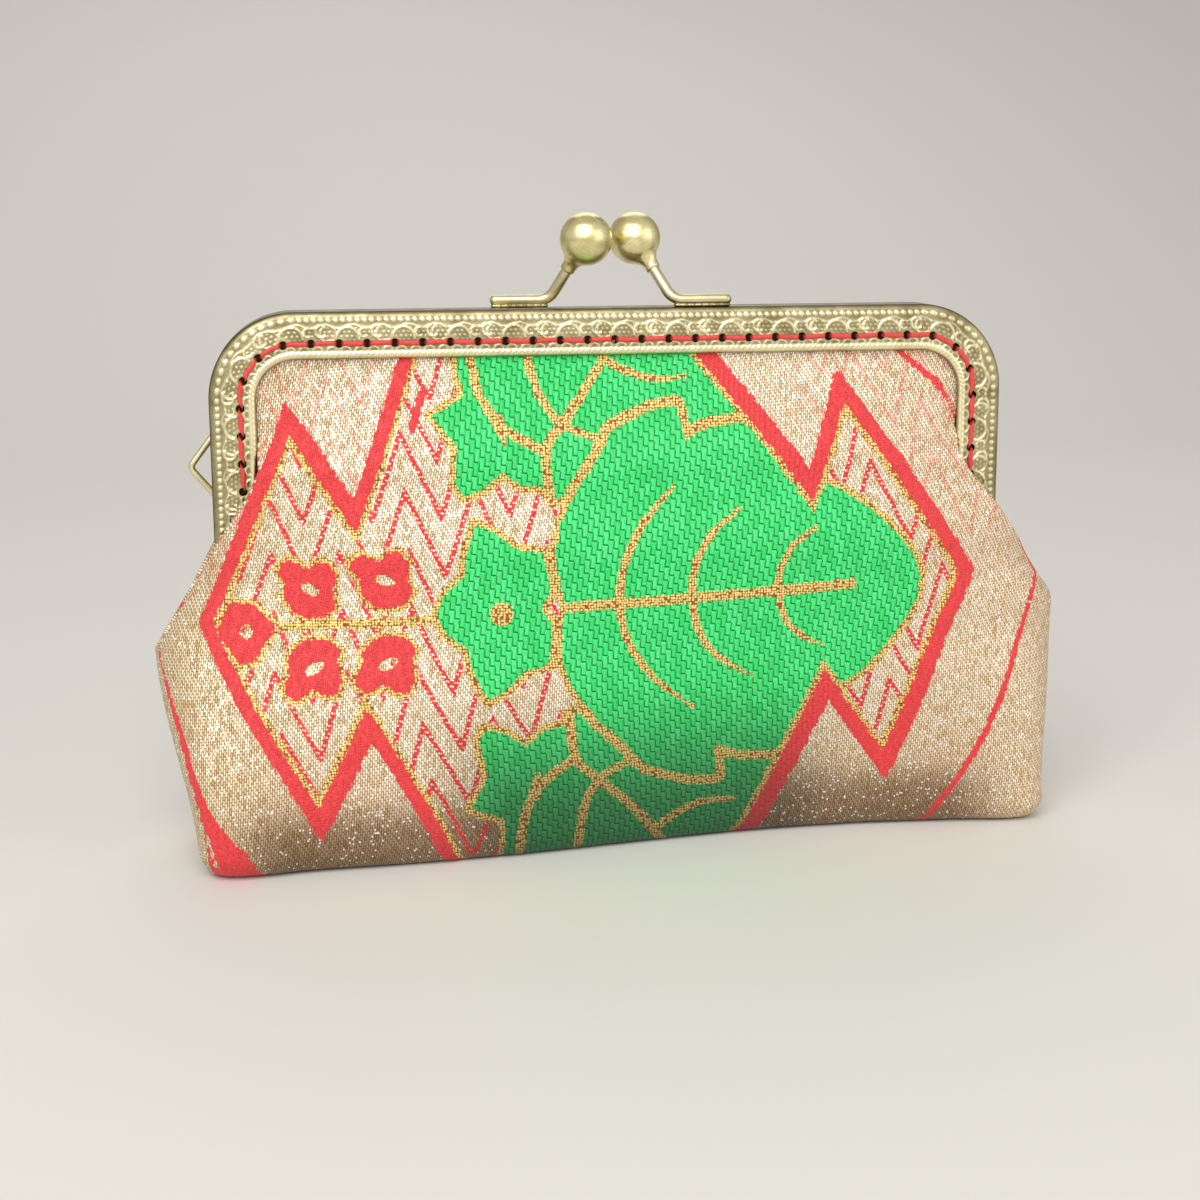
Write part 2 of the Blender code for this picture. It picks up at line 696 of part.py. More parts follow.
def cloth_outline(step):
    """The panel cut flat: seam, flap that swells over the arm, notch, and the edge held in the channel."""
    opening = FRAME_WIDTH / 2 - FACE_WIDTH
    arm_outside = FRAME_WIDTH / 2
    notch = opening - NOTCH_INSET
    flap = [(arm_outside + 8.7 * MM, SEAM_TOP + 6 * MM), (arm_outside + 4.3 * MM, HINGE_HEIGHT + MM),
            (arm_outside - MM, HINGE_HEIGHT + 7 * MM), (opening - MM, FLAP_START + MM),
            (notch, FLAP_START + 3 * MM), (notch, FLAP_END - 2 * MM), (opening - MM, FLAP_END)]
    on_flap = [(across_at(x, run_at(z)), run_at(z)) for x, z in flap]
    edge = SHEET + CHANNEL_END_GAP
    held = arch_on_cloth(edge, FLAP_END)
    right = edge_up_the_side(SEAM_TOP, step) + on_flap + held
    middle_top = (0, run_at(FRAME_TOP - edge))
    return mirrored(spaced([(0, 0)] + right + [middle_top], step))


def lining_outline(step):
    """The lining cut flat: it leaves the side seam below the ears and passes inside the frame's arms."""
    opening = FRAME_WIDTH / 2 - FACE_WIDTH - 2 * GAP
    seam = edge_up_the_side(SEAM_TOP - 1.5 * MM, step)
    below_ear = HINGE_HEIGHT - EAR_RADIUS - MM
    corners = [(opening + 10 * MM, below_ear - 4 * MM), (opening, below_ear), (opening, FLAP_START),
               (opening, FLAP_END)]
    inner = [(across_at(x, run_at(z)), run_at(z)) for x, z in corners]
    edge = SHEET + CHANNEL_END_GAP
    held = arch_on_cloth(edge, FLAP_END)
    middle_top = (0, run_at(FRAME_TOP - edge))
    return mirrored(spaced([(0, 0)] + seam + inner + held + [middle_top], step))


# The woven figure

def on_cloth(points):
    """Points of the figure, in millimetres along and above its own axis, as places on the flat cloth."""
    c, s = math.cos(FIGURE_TILT), math.sin(FIGURE_TILT)
    middle = run_at(FIGURE_HEIGHT)
    return [((c * p - s * q) * MM, middle + (s * p + c * q) * MM) for p, q in points]


def both_sides(upper):
    """A closed outline from its upper half, which runs along the figure's axis from left to right."""
    return upper + [(p, -q) for p, q in reversed(upper) if abs(q) > 1e-9]


def lozenge(inset):
    """The stepped lozenge, inset all round: a tall lozenge, cut by the cloth's edges, with a small one each end."""
    drop = BAND_DROP * inset
    left = [(-79.3 + drop / 2.1, 0), (-60, 40.5 - drop), (-48.7, 22.3 - drop), (-35.7 + drop / 2.3, 52)]
    right = [(20.3 - drop / 1.57, 52), (38.7, 23 - drop), (48, 41 - drop), (71.3 - drop / 1.76, 0)]
    return both_sides(left + right)


LEAF = [(-10.3, 1), (-11.8, 10.7), (-6.4, 22.2), (1, 32), (14.6, 36), (15, 30), (29, 32), (38.7, 15.6),
        (44.5, 18.4), (52, 12.5), (58, 5), (59.3, 0)]
SIDE_LEAF = [(-29, 50), (-26.2, 39.6), (-32.6, 36.6), (-28.6, 31), (-28.6, 22), (-20.6, 25.9), (-14, 23),
             (0, 26), (14, 37.5), (15, 31), (28, 32.5), (16, 52), (-8, 53)]
FLOWER = [(-34.8, 0), (-29, 6.8), (-26.4, 16.4), (-19, 11.2), (-14.2, 10.4), (-13.2, 2)]
RED_FLOWERS = [(-70.2, -0.6), (-57.8, 5.4), (-43.6, 8.2), (-57.6, -7), (-43.8, -7.4)]


def flower(p, q, reach, petals=5):
    """A flower seen from above: petals with notches between."""
    turns = [math.pi * i / petals for i in range(2 * petals)]
    return [(p - (reach if i % 2 == 0 else 0.55 * reach) * math.cos(a),
             q + (reach if i % 2 == 0 else 0.55 * reach) * math.sin(a)) for i, a in enumerate(turns)]


def figure_fields(red, green, ground):
    """The figure as fields of colour, the lowest first."""
    below = [(p, -q) for p, q in reversed(SIDE_LEAF)]
    fields = [(red, lozenge(0)), (ground, lozenge(BAND_WIDTH / MM)), (green, both_sides(LEAF)),
              (green, SIDE_LEAF), (green, below), (green, both_sides(FLOWER))]
    fields += [(red, flower(p, q, 5.2, 3)) for p, q in RED_FLOWERS]
    return [(shade, on_cloth(points)) for shade, points in fields]


def main():
    for old in list(bpy.data.objects):
        bpy.data.objects.remove(old)
    brass = material("antique brass", (0.46, 0.40, 0.24), 0.38, 1.0)
    steel = material("plated steel", (0.42, 0.38, 0.26), 0.4, 1.0)
    ground = material("gold and cream brocade", (0.62, 0.5, 0.33), 0.55)
    red = material("red silk floats", (0.78, 0.05, 0.05), 0.5)
    green = material("green silk floats", (0.02, 0.45, 0.1), 0.5)
    satin = material("lining satin", (0.6, 0.06, 0.06), 0.45)
    thread = material("waxed red thread", (0.75, 0.05, 0.05), 0.6)

    frame_half("front_frame", -1, False, brass)
    frame_half("back_frame", 1, True, brass)
    hinge_rivet("left_hinge_rivet", -1, steel)
    hinge_rivet("right_hinge_rivet", 1, steel)
    stitching("front_stitching", -1, thread)
    stitching("back_stitching", 1, thread)
    clasp("front_clasp", 1, -1, brass)
    clasp("back_clasp", -1, 1, brass)
    chain_loop("left_chain_loop", -1, brass)
    chain_loop("right_chain_loop", 1, brass)

    panel_step, lining_step = 11 * MM, 13 * MM
    lining_below = CLOTH + LINING_GAP
    for side, where in ((-1, "front"), (1, "back")):
        figure = figure_fields(1, 2, 0)
        sheet(f"{where}_panel", side, cloth_outline(panel_step), figure, 0, 0, CLOTH, panel_step,
              ground, red, green)
        sheet(f"{where}_lining", side, lining_outline(lining_step), [], lining_below, LINING_SLACK, LINING,
              lining_step, satin)


main()
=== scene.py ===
"""The looks of a kiss-lock frame purse: brocade sewn into an embossed brass frame with a ball clasp."""

import math

import bmesh
import bpy
import numpy as np
from mathutils import Matrix, Vector


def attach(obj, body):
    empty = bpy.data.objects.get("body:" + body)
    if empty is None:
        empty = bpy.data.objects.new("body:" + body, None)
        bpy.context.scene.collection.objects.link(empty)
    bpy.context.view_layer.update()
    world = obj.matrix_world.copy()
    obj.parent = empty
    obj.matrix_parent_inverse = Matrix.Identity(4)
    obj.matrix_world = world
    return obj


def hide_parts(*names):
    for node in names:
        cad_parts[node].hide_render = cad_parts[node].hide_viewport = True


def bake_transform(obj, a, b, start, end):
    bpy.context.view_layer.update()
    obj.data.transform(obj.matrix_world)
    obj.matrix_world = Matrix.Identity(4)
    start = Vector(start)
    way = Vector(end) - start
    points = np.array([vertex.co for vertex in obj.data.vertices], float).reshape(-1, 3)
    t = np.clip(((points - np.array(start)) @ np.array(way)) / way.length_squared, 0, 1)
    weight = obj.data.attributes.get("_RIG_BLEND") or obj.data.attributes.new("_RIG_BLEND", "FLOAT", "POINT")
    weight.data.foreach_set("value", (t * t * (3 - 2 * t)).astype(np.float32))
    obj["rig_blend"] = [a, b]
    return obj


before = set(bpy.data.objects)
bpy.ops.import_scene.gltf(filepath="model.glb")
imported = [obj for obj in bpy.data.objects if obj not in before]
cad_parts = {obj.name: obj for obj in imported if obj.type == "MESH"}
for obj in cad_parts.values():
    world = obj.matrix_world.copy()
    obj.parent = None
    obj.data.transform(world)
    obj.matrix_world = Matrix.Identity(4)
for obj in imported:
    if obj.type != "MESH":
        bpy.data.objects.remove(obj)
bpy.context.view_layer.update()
MM = 0.001

# Camera
# A phone held about 40 cm away, a little to the left and above.
# Its sensor is taken as 36 mm wide and its lens as 62 mm, which gives the photograph's perspective.
azimuth, elevation, roll = np.radians((-8, 11.2, -0.3))
towards = Vector((math.sin(azimuth) * math.cos(elevation), -math.cos(azimuth) * math.cos(elevation),
                  math.sin(elevation)))
rightward = Vector((math.cos(azimuth), math.sin(azimuth), 0))
upward = towards.cross(rightward)
distance = 0.4
aim = Vector((0, 0, 0.055)) - rightward * 0.0023 - upward * 0.0100
camera = bpy.data.objects.new("camera", bpy.data.cameras.new("camera"))
bpy.context.scene.collection.objects.link(camera)
camera.data.sensor_width = 36
camera.data.lens = 62.35
camera.data.clip_start = 0.01
camera.matrix_world = (Matrix.Translation(aim + towards * distance)
                       @ Matrix((rightward, upward, towards)).transposed().to_4x4()
                       @ Matrix.Rotation(roll, 4, "Z"))
bpy.context.scene.camera = camera


# Outer panels
# Figured silk brocade, cut front and back to one shape, lined, and joined at the sides and under the bottom.
# The top edge is glued and sewn into the frame; beside the frame's arms the cloth swells out over them.

HALVES = ((-1, "front"), (1, "back"))
FRAME_HALF_WIDTH, FRAME_TOP, CORNER = 75.0, 101.0, 16.0
HALF_STRAIGHT, ARM_TOP = FRAME_HALF_WIDTH - CORNER, FRAME_TOP - CORNER
OPENING = 66.4  # the frame's inner edge
HINGE = 55.0
BOTTOM_FLAT = 15.0  # from the bottom seam to the fold
FOLD = 4.0
HALF_DEPTH = BOTTOM_FLAT + FOLD
WALL_START = BOTTOM_FLAT + FOLD * math.pi / 2
EDGE_INSET = 1.1  # from the frame's outer edge to the cloth's edge in the channel
EDGE_REACH = FRAME_HALF_WIDTH - EDGE_INSET
EDGE_DEPTH = 3.9  # from the parting plane to the cloth in the channel
NOTCH = 83.0  # above this the cloth's edge lies in the channel
GATHERED = (71, 79.5)  # the heights between which the cloth is drawn in to the channel's depth
ROUNDING = [(0, 7), (42, 2.4)]  # the superellipse power of its level cuts: boxed at the bottom, oval higher up
LEFT_WIDTHS = [(0, 82.5), (4, 84), (39, 86.8), (HINGE, 80)]
RIGHT_WIDTHS = [(0, 79.5), (4, 81), (42, 88.5), (HINGE, 82)]
HALF_DEPTHS = [(0, HALF_DEPTH), (27.7, HALF_DEPTH), (HINGE, 16), (71, 12.9), (92.4, EDGE_DEPTH)]
LEFT_EDGE = [(39, 86.6), (46, 82), (52, 78.5), (58, 75), (62, 72.3), (68, 68.2), (72.5, 66.1), (79.5, 66.2),
             (NOTCH, EDGE_REACH)]
RIGHT_EDGE = [(43, 88.4), (49, 83.7), (56, 79.3), (62, 74.6), (70, 67.6), (72.5, 66.1), (79.5, 66.2),
              (NOTCH, EDGE_REACH)]
BASE_HALF_DEPTH, BASE_SPREAD, BASE_CORNERS = 14.5, 2.4, 4.0  # at the middle, and what is added outwards
BASE_TURN, BASE_LEAN = 6.0, 4.5


def ease(value, low, high):
    """0 below low, 1 above high, and a smooth rise between."""
    share = np.clip((value - low) / (high - low), 0, 1)
    return share * share * (3 - 2 * share)


def through(value, stops):
    """A smooth run through (place, amount) stops."""
    total = np.full(np.shape(value), float(stops[0][1]))
    for (low, first), (high, last) in zip(stops, stops[1:]):
        total = total + (last - first) * ease(value, low, high)
    return total


def settled(x, y, z):
    """Where the empty bag settles: drawn in at its middle, out at its corners, its base turned and leaning."""
    low = 1 - ease(z, FOLD, 62)
    reach = np.abs(x)
    depth = BASE_HALF_DEPTH + BASE_SPREAD * (reach / 55) ** 2 + BASE_CORNERS * ease(reach, 60, 85)
    turn = BASE_TURN * np.sign(x) * np.sin(math.pi / 2 * np.minimum(reach / 50, 1))
    lean = BASE_LEAN * (1 - ease(z, 0, 42))
    return np.stack([x + lean, y * (1 + low * (depth / HALF_DEPTH - 1)) + low * turn, z], axis=-1)


def bag_face(side, share, run, edges=(LEFT_EDGE, RIGHT_EDGE)):
    """Points (mm) of one side's cloth at a share across (-1 to 1) and a run (mm) up from the bottom seam.

    Returns the points and how far each lies across the flat cloth.
    """
    short = np.maximum(BOTTOM_FLAT - run, 0)
    turn = np.clip((run - BOTTOM_FLAT) / FOLD, 0, math.pi / 2)
    z = np.where(run < BOTTOM_FLAT, 0.0, FOLD * (1 - np.cos(turn)) + np.maximum(run - WALL_START, 0))
    left = share < 0
    wide = np.where(left, through(z, LEFT_WIDTHS), through(z, RIGHT_WIDTHS)) - short
    deep = np.where(run < WALL_START, BOTTOM_FLAT - short + FOLD * np.sin(turn), through(z, HALF_DEPTHS))
    power = through(z, ROUNDING)
    # The cloth's edge: the side seam, then the flap over the arm, the notch, and the edge in the channel
    corner = HALF_STRAIGHT + np.sqrt(np.clip((CORNER - EDGE_INSET) ** 2 - (z - ARM_TOP) ** 2, 1, None))
    flap = np.where(left, np.interp(z, *zip(*edges[0])), np.interp(z, *zip(*edges[1])))
    limit = np.where(z < NOTCH, np.minimum(flap, wide), np.minimum(corner, EDGE_REACH))
    limit = np.where(z < np.where(left, edges[0][0][0], edges[1][0][0]), wide, limit)
    # Half the level outline at each height, as 300 points from the middle to the side seam
    places = np.arange(300)
    even = (places / places[-1])[:, None]
    angle = math.pi / 2 * even ** (power / 2) / (even ** (power / 2) + (1 - even) ** (power / 2))
    x = wide * np.sin(angle) ** (2 / power)
    free = deep * np.abs(np.cos(angle)) ** (2 / power)
    in_channel = EDGE_DEPTH + (deep - EDGE_DEPTH) * np.clip(1 - (x / OPENING) ** 4, 0, 1)
    held = ease(z, *GATHERED)
    depth = free * (1 - held) + in_channel * held
    steps = np.hypot(np.diff(x, axis=0), np.diff(depth, axis=0))
    length = np.vstack([np.zeros(x.shape[1]), np.cumsum(steps, axis=0)])
    reach = np.empty(len(z))
    for i in range(len(z)):
        reach[i] = abs(share[i]) * np.interp(limit[i], x[:, i], length[:, i])
        place = np.interp(reach[i], length[:, i], places)
        free[0, i] = np.interp(place, places, x[:, i])
        free[1, i] = np.interp(place, places, depth[:, i])
    return settled(np.sign(share) * free[0], side * free[1], z), np.sign(share) * reach


def linear(colour):
    """A colour written as sRGB hex, as the linear values that a shader takes."""
    parts = [int(colour[i:i + 2], 16) / 255 for i in (1, 3, 5)]
    return (*(c / 12.92 if c <= 0.04045 else ((c + 0.055) / 1.055) ** 2.4 for c in parts), 1)


def plug(tree, made, inputs):
    """Links or fills a node's inputs, given as {socket: link or value}."""
    for socket, value in dict(inputs).items():
        if isinstance(value, bpy.types.NodeSocket):
            tree.links.new(value, made.inputs[socket])
        else:
            made.inputs[socket].default_value = value


def node(tree, kind, inputs=(), give=0, **settings):
    """Adds a node with its settings, plugs its inputs, and returns one of its outputs."""
    made = tree.nodes.new("ShaderNode" + kind)
    for name, value in settings.items():
        setattr(made, name, value)
    plug(tree, made, inputs)
    return made.outputs[give]


def new_material(name):
    """A material with its node tree and its shader."""
    made = bpy.data.materials.new(name)
    made.use_nodes = True
    return made, made.node_tree, made.node_tree.nodes["Principled BSDF"]


def grid_mesh(name, points, closed_across=False):
    """A mesh (metres) over a rows by columns array of points in mm."""
    rows, columns = points.shape[:2]
    index = np.arange(rows * columns).reshape(rows, columns)
    if closed_across:
        index = np.hstack([index, index[:, :1]])
    faces = np.stack([index[:-1, :-1], index[:-1, 1:], index[1:, 1:], index[1:, :-1]], axis=-1).reshape(-1, 4)
    mesh = bpy.data.meshes.new(name)
    mesh.from_pydata(points.reshape(-1, 3) * MM, [], faces.tolist())
    mesh.shade_smooth()
    made = bpy.data.objects.new(name, mesh)
    bpy.context.scene.collection.objects.link(made)
    return made


def store(piece, name, values):
    """Keeps a number or a vector for each point of a piece, for its material to read."""
    values = np.asarray(values, dtype=np.float32)
    kind = "FLOAT" if values.ndim == 1 else "FLOAT_VECTOR"
    attribute = piece.data.attributes.new(name, kind, "POINT")
    attribute.data.foreach_set("value" if values.ndim == 1 else "vector", values.ravel())


# The woven figure: the upper half of a stepped lozenge round a leaf and blossoms, in mm from its middle
BAND = [(-130, -106), (-79.3, 0), (-60, 40.5), (-48.7, 22.3), (-30, 65), (12, 65), (38.7, 23), (48, 41),
        (71.3, 0), (130, -103)]
LEAF = [(-10.3, 0), (-11.3, 4), (-11.8, 10.7), (-10.2, 16), (-6.4, 22.2), (-2, 27.6), (1, 32), (5, 33.8),
        (9.8, 35.4), (14.6, 36), (15, 29.6), (20, 31.6), (29, 32.4), (40, 42), (40, 20.2), (44.5, 18.4),
        (50, 14.2), (55.3, 8.8), (58.4, 4), (59.3, 0), (59.3, -5), (-10.3, -5)]
SIDE_LEAF = [(-27.5, 62), (-26.2, 39.6), (-32.6, 36.6), (-28.6, 31.2), (-29.4, 24), (-28, 21.8), (-24.4, 22.8),
             (-20.6, 25.9), (-16.8, 22.9), (-13.4, 23), (-11.4, 20), (0, 24), (15, 28), (32, 28), (45, 62)]
STAR = [(-34.8, 0), (-33, 3.6), (-29, 6.8), (-28.6, 11), (-26.4, 16.4), (-23, 14.8), (-19, 11.4), (-16.6, 11),
        (-14.2, 10.4), (-13.3, 6), (-13.2, 3), (-15.2, 0), (-15.2, -5), (-34.8, -5)]
BLOSSOM = [(-5.8, 4.4), (-3.9, 5.7), (-2.4, 5), (-0.5, 3.7), (1.7, 5.1), (3.8, 4.9), (4.9, 2.4), (4.2, -0.8),
           (4.9, -3.2), (2.6, -5.2), (-1, -5.3), (-3.4, -4), (-4.9, -1.4), (-4.6, 1.2), (-5.9, 2.8)]
BLOSSOM_PLACES = [(-57.8, 5.7, 0), (-43.8, 6.9, 8), (-57.5, -8.6, 0), (-44, -8.4, -8)]
END_BLOSSOM = [(-73, 3.5), (-68.5, 3.2), (-64.1, -0.8), (-66.5, -4), (-68.2, -7.3), (-71.1, -7.6),
               (-73.3, -4.9), (-75.7, -2.3), (-74.2, 1.3)]
VEINS = [([(-11, 0), (20, 0.2), (45.5, 0.4)], [0.9, 0.8, 0.65]),
         ([(-0.5, 0), (0.6, 7), (4.6, 14.6), (12, 21.4)], [0.8, 0.8, 0.7, 0.4]),
         ([(13.6, 0), (14.2, 6), (17.2, 11.6), (24.2, 16.4)], [0.8, 0.8, 0.7, 0.4]),
         ([(30.4, 0), (31, 4.6), (33.8, 8.9), (38.7, 11.6)], [0.8, 0.7, 0.65, 0.4]),
         ([(-11.8, 20), (-12.4, 29.6), (-8.8, 33.4), (-4.6, 37.4), (0.5, 43.4), (6, 52)], [1] + [0.9] * 5),
         ([(-24.2, 52), (-23.6, 41.8), (-22.4, 38.2), (-20.2, 34.4), (-16.8, 31.8), (-12.4, 29.4)], [0.9] * 6),
         ([(-13.5, 52), (-12.2, 40.2), (-9.2, 34.8)], [0.9, 0.9, 0.8]),
         ([(-8.6, 33.8), (-1, 30.6)], [0.8, 0.7]),
         ([(2.3, 45), (6.4, 42.6), (11.7, 40.8), (17.7, 41.4)], [0.8, 0.8, 0.7, 0.4]),
         ([(-20.4, 35.4), (-19.6, 31.2)], [1.2, 0.5])]
STEM = ([(-64.5, -0.8), (-35, -0.8)], [0.9, 0.9])
BORDER = ([(54, 46), (58.6, 41.6), (63.7, 37.4), (66.2, 33.8), (76, 17), (86, -0.5), (82.6, -4.7),
           (80.5, -9.7), (74.3, -20.5), (68.3, -29.8), (62.2, -38.6), (55.9, -45.9), (48, -56)], [0.6] * 13)
LEFT_BORDER = ([(-90, 2), (-89, -5), (-87, -12), (-85.2, -19), (-84.4, -25.4), (-83.4, -31), (-81.8, -36),
                (-79.8, -41), (-78, -48), (-77, -60)], [0.4, 0.5, 0.6, 0.8, 1, 1.5, 2.6, 4, 5.5, 6.5])
STRIPE = ([(-86, -18), (-85.4, -27), (-84, -34), (-82, -42)], [0.15, 0.3, 0.4, 0.3])
BAR = ([(-34.9, 40.3), (-37.2, 34.2)], [0.8, 0.8])
STAR_HEART, STAR_HEART_RADIUS = (-22.4, -0.4), 2.2
BAND_SLANT = 0.46  # turns a height above the band's edge into a distance square to it
BAND_RED, BAND_GOLD = 3, 4  # how far in from its edge the band's red ends, and then its gold
ZIGZAG_WIDTH, ZIGZAG_SLOPE, ZIGZAG_RISE = 12.9, 2.45, 10.75
ZIGZAG_FOOT = (-58.4, 28.8)
FIGURE_HEIGHT, FIGURE_TILT = 46.8, 1.83  # where its axis crosses the middle, and how many degrees it rises
# How far the cut cloth is pulled askew, in mm for 1, u, v, uu, uv and vv. u is 1 at 80 mm along, v at 40 mm up
ASKEW_ALONG = (0.65, 0.84, 0.27, 0.12, 2.19, 1.3)
ASKEW_UP = (-0.55, -0.48, 0.9, -0.98, -0.15, 0.08)


def stroke(p, q, points, widths):
    """Signed distance (mm, below zero inside) to a drawn line whose half width changes along it."""
    nearest = np.full(p.shape, 1e3)
    for (a, b), (c, d), wa, wb in zip(points, points[1:], widths, widths[1:]):
        along = np.clip(((p - a) * (c - a) + (q - b) * (d - b)) / ((c - a) ** 2 + (d - b) ** 2), 0, 1)
        away = np.hypot(p - a - along * (c - a), q - b - along * (d - b)) - wa - along * (wb - wa)
        nearest = np.minimum(nearest, away)
    return nearest


def rounded(points, widths):
    """A drawn line and its half widths with the corners cut twice."""
    line = np.column_stack([points, widths])
    for _ in range(2):
        cuts = np.stack([0.75 * line[:-1] + 0.25 * line[1:], 0.25 * line[:-1] + 0.75 * line[1:]], axis=1)
        line = np.vstack([line[:1], cuts.reshape(-1, 3), line[-1:]])
    return line[:, :2].tolist(), line[:, 2].tolist()


def region(p, q, points):
    """Signed distance (mm, below zero inside) to a closed outline."""
    nearest = np.full(p.shape, 1e3)
    inside = np.zeros(p.shape, bool)
    for (a, b), (c, d) in zip(points, points[1:] + points[:1]):
        along = np.clip(((p - a) * (c - a) + (q - b) * (d - b)) / ((c - a) ** 2 + (d - b) ** 2), 0, 1)
        nearest = np.minimum(nearest, np.hypot(p - a - along * (c - a), q - b - along * (d - b)))
        if b != d:
            inside ^= ((b > q) != (d > q)) & (p < a + (q - b) * (c - a) / (d - b))
    return np.where(inside, -nearest, nearest)


def figure(across, run):
    """Signed distances (mm) to the figure's fields, for points of the flat cloth."""
    above = run - (WALL_START + FIGURE_HEIGHT - FOLD)
    tilt = math.radians(FIGURE_TILT)
    true_p = across * math.cos(tilt) + above * math.sin(tilt)
    true_q = -across * math.sin(tilt) + above * math.cos(tilt)
    u, v = true_p / 80, true_q / 40
    terms = (1, u, v, u * u, u * v, v * v)
    p = true_p + sum(share * term for share, term in zip(ASKEW_ALONG, terms))
    q = true_q + sum(share * term for share, term in zip(ASKEW_UP, terms))
    up = np.abs(q)
    band = (np.interp(p, *zip(*BAND)) - up) * BAND_SLANT
    leaf = region(p, up, LEAF)
    green = np.minimum(np.minimum(leaf, region(p, up, SIDE_LEAF)), region(p, up, STAR))
    vein = np.minimum.reduce([stroke(p, up, *rounded(*one)) for one in VEINS] + [stroke(p, q, *STEM)])
    vein = np.minimum(vein, np.hypot(p - STAR_HEART[0], q - STAR_HEART[1]) - STAR_HEART_RADIUS)
    # Each blossom has a slanting pale heart, and those below the stem stand on their heads
    blossom = np.full(p.shape, 1e3)
    for x, y, turn in BLOSSOM_PLACES:
        flip = 1 if y > 0 else -1
        c, s = math.cos(math.radians(turn)), math.sin(math.radians(turn))
        u, v = (p - x) * c + (q - y) * s, ((q - y) * c - (p - x) * s) * flip
        heart = 6 * (1 - np.hypot((u + 0.8 * v) / 1.5, v / 1.3))
        blossom = np.minimum(blossom, np.maximum(region(u, v, BLOSSOM), heart))
    heart = 6 * (1 - np.hypot((p + 69.9) / 1.3, (q + 1.8) / 1.4))
    blossom = np.minimum(blossom, np.maximum(region(p, q, END_BLOSSOM), heart))
    border = np.minimum(stroke(true_p, true_q, *BORDER), stroke(true_p, true_q, *BAR))
    edge = np.maximum(stroke(true_p, true_q, *LEFT_BORDER), -stroke(true_p, true_q, *STRIPE))
    border = np.minimum(border, edge)
    # Red picks run in zigzags that all point down, strongly inside the band and faintly between its arms above
    from_foot = (p - ZIGZAG_FOOT[0] + ZIGZAG_WIDTH / 2) % ZIGZAG_WIDTH - ZIGZAG_WIDTH / 2
    zigzag = q - ZIGZAG_SLOPE * np.abs(from_foot) - ZIGZAG_FOOT[1] + ZIGZAG_RISE / 2
    picks = np.where(band > 0, 1.0, 0.34 * ease(q, 0, 12)) * (green > 1.2) * (blossom > 0.8)
    return {"band": band, "leaf": leaf, "green": green, "vein": vein, "blossom": blossom, "border": border,
            "zigzag": zigzag, "picks": picks}


CLOTH_WIDTH = 184
TURNED = (30, 60, 90, 120, 150, 180)  # the angles at which a folded edge has points
PAD = ((0, 0), (len(TURNED) + 1, len(TURNED) + 1))


def cloth_grid(side, step, top, edges=(LEFT_EDGE, RIGHT_EDGE)):
    """Rows by columns of points on one side's cloth, and their places on the flat cloth."""
    runs = np.concatenate([np.arange(0, BOTTOM_FLAT, step), np.linspace(BOTTOM_FLAT, WALL_START, 9),
                           np.arange(WALL_START + step, WALL_START + top - FOLD, step)])
    shares = np.linspace(-1, 1, int(CLOTH_WIDTH / step) // 2 * 2 + 1)
    run, share = np.meshgrid(runs, shares, indexing="ij")
    points, across = bag_face(side, share.ravel(), run.ravel(), edges)
    return points.reshape(*run.shape, 3), across.reshape(run.shape), run


def face_normals(points, side):
    """Unit vectors out of the cloth at each grid point."""
    out = np.cross(np.gradient(points, axis=1), np.gradient(points, axis=0)) * -side
    return out / np.maximum(np.linalg.norm(out, axis=-1, keepdims=True), 1e-9)


def folded_in(points, normals, radius, depth):
    """The cloth with its side edges folded round a radius and turned back inside, as extra columns."""
    made = []
    for end, inner in ((0, 1), (-1, -2)):
        tangent = points[:, end] - points[:, inner]
        tangent /= np.maximum(np.linalg.norm(tangent, axis=-1, keepdims=True), 1e-9)
        extra = []
        for angle in np.radians(TURNED):
            turn = np.sin(angle) * tangent - (1 - np.cos(angle)) * normals[:, end]
            extra.append(points[:, end] + radius * turn)
        extra.append(extra[-1] - depth * tangent)
        made.append(extra)
    return np.concatenate([np.stack(made[0][::-1], axis=1), points, np.stack(made[1], axis=1)], axis=1)


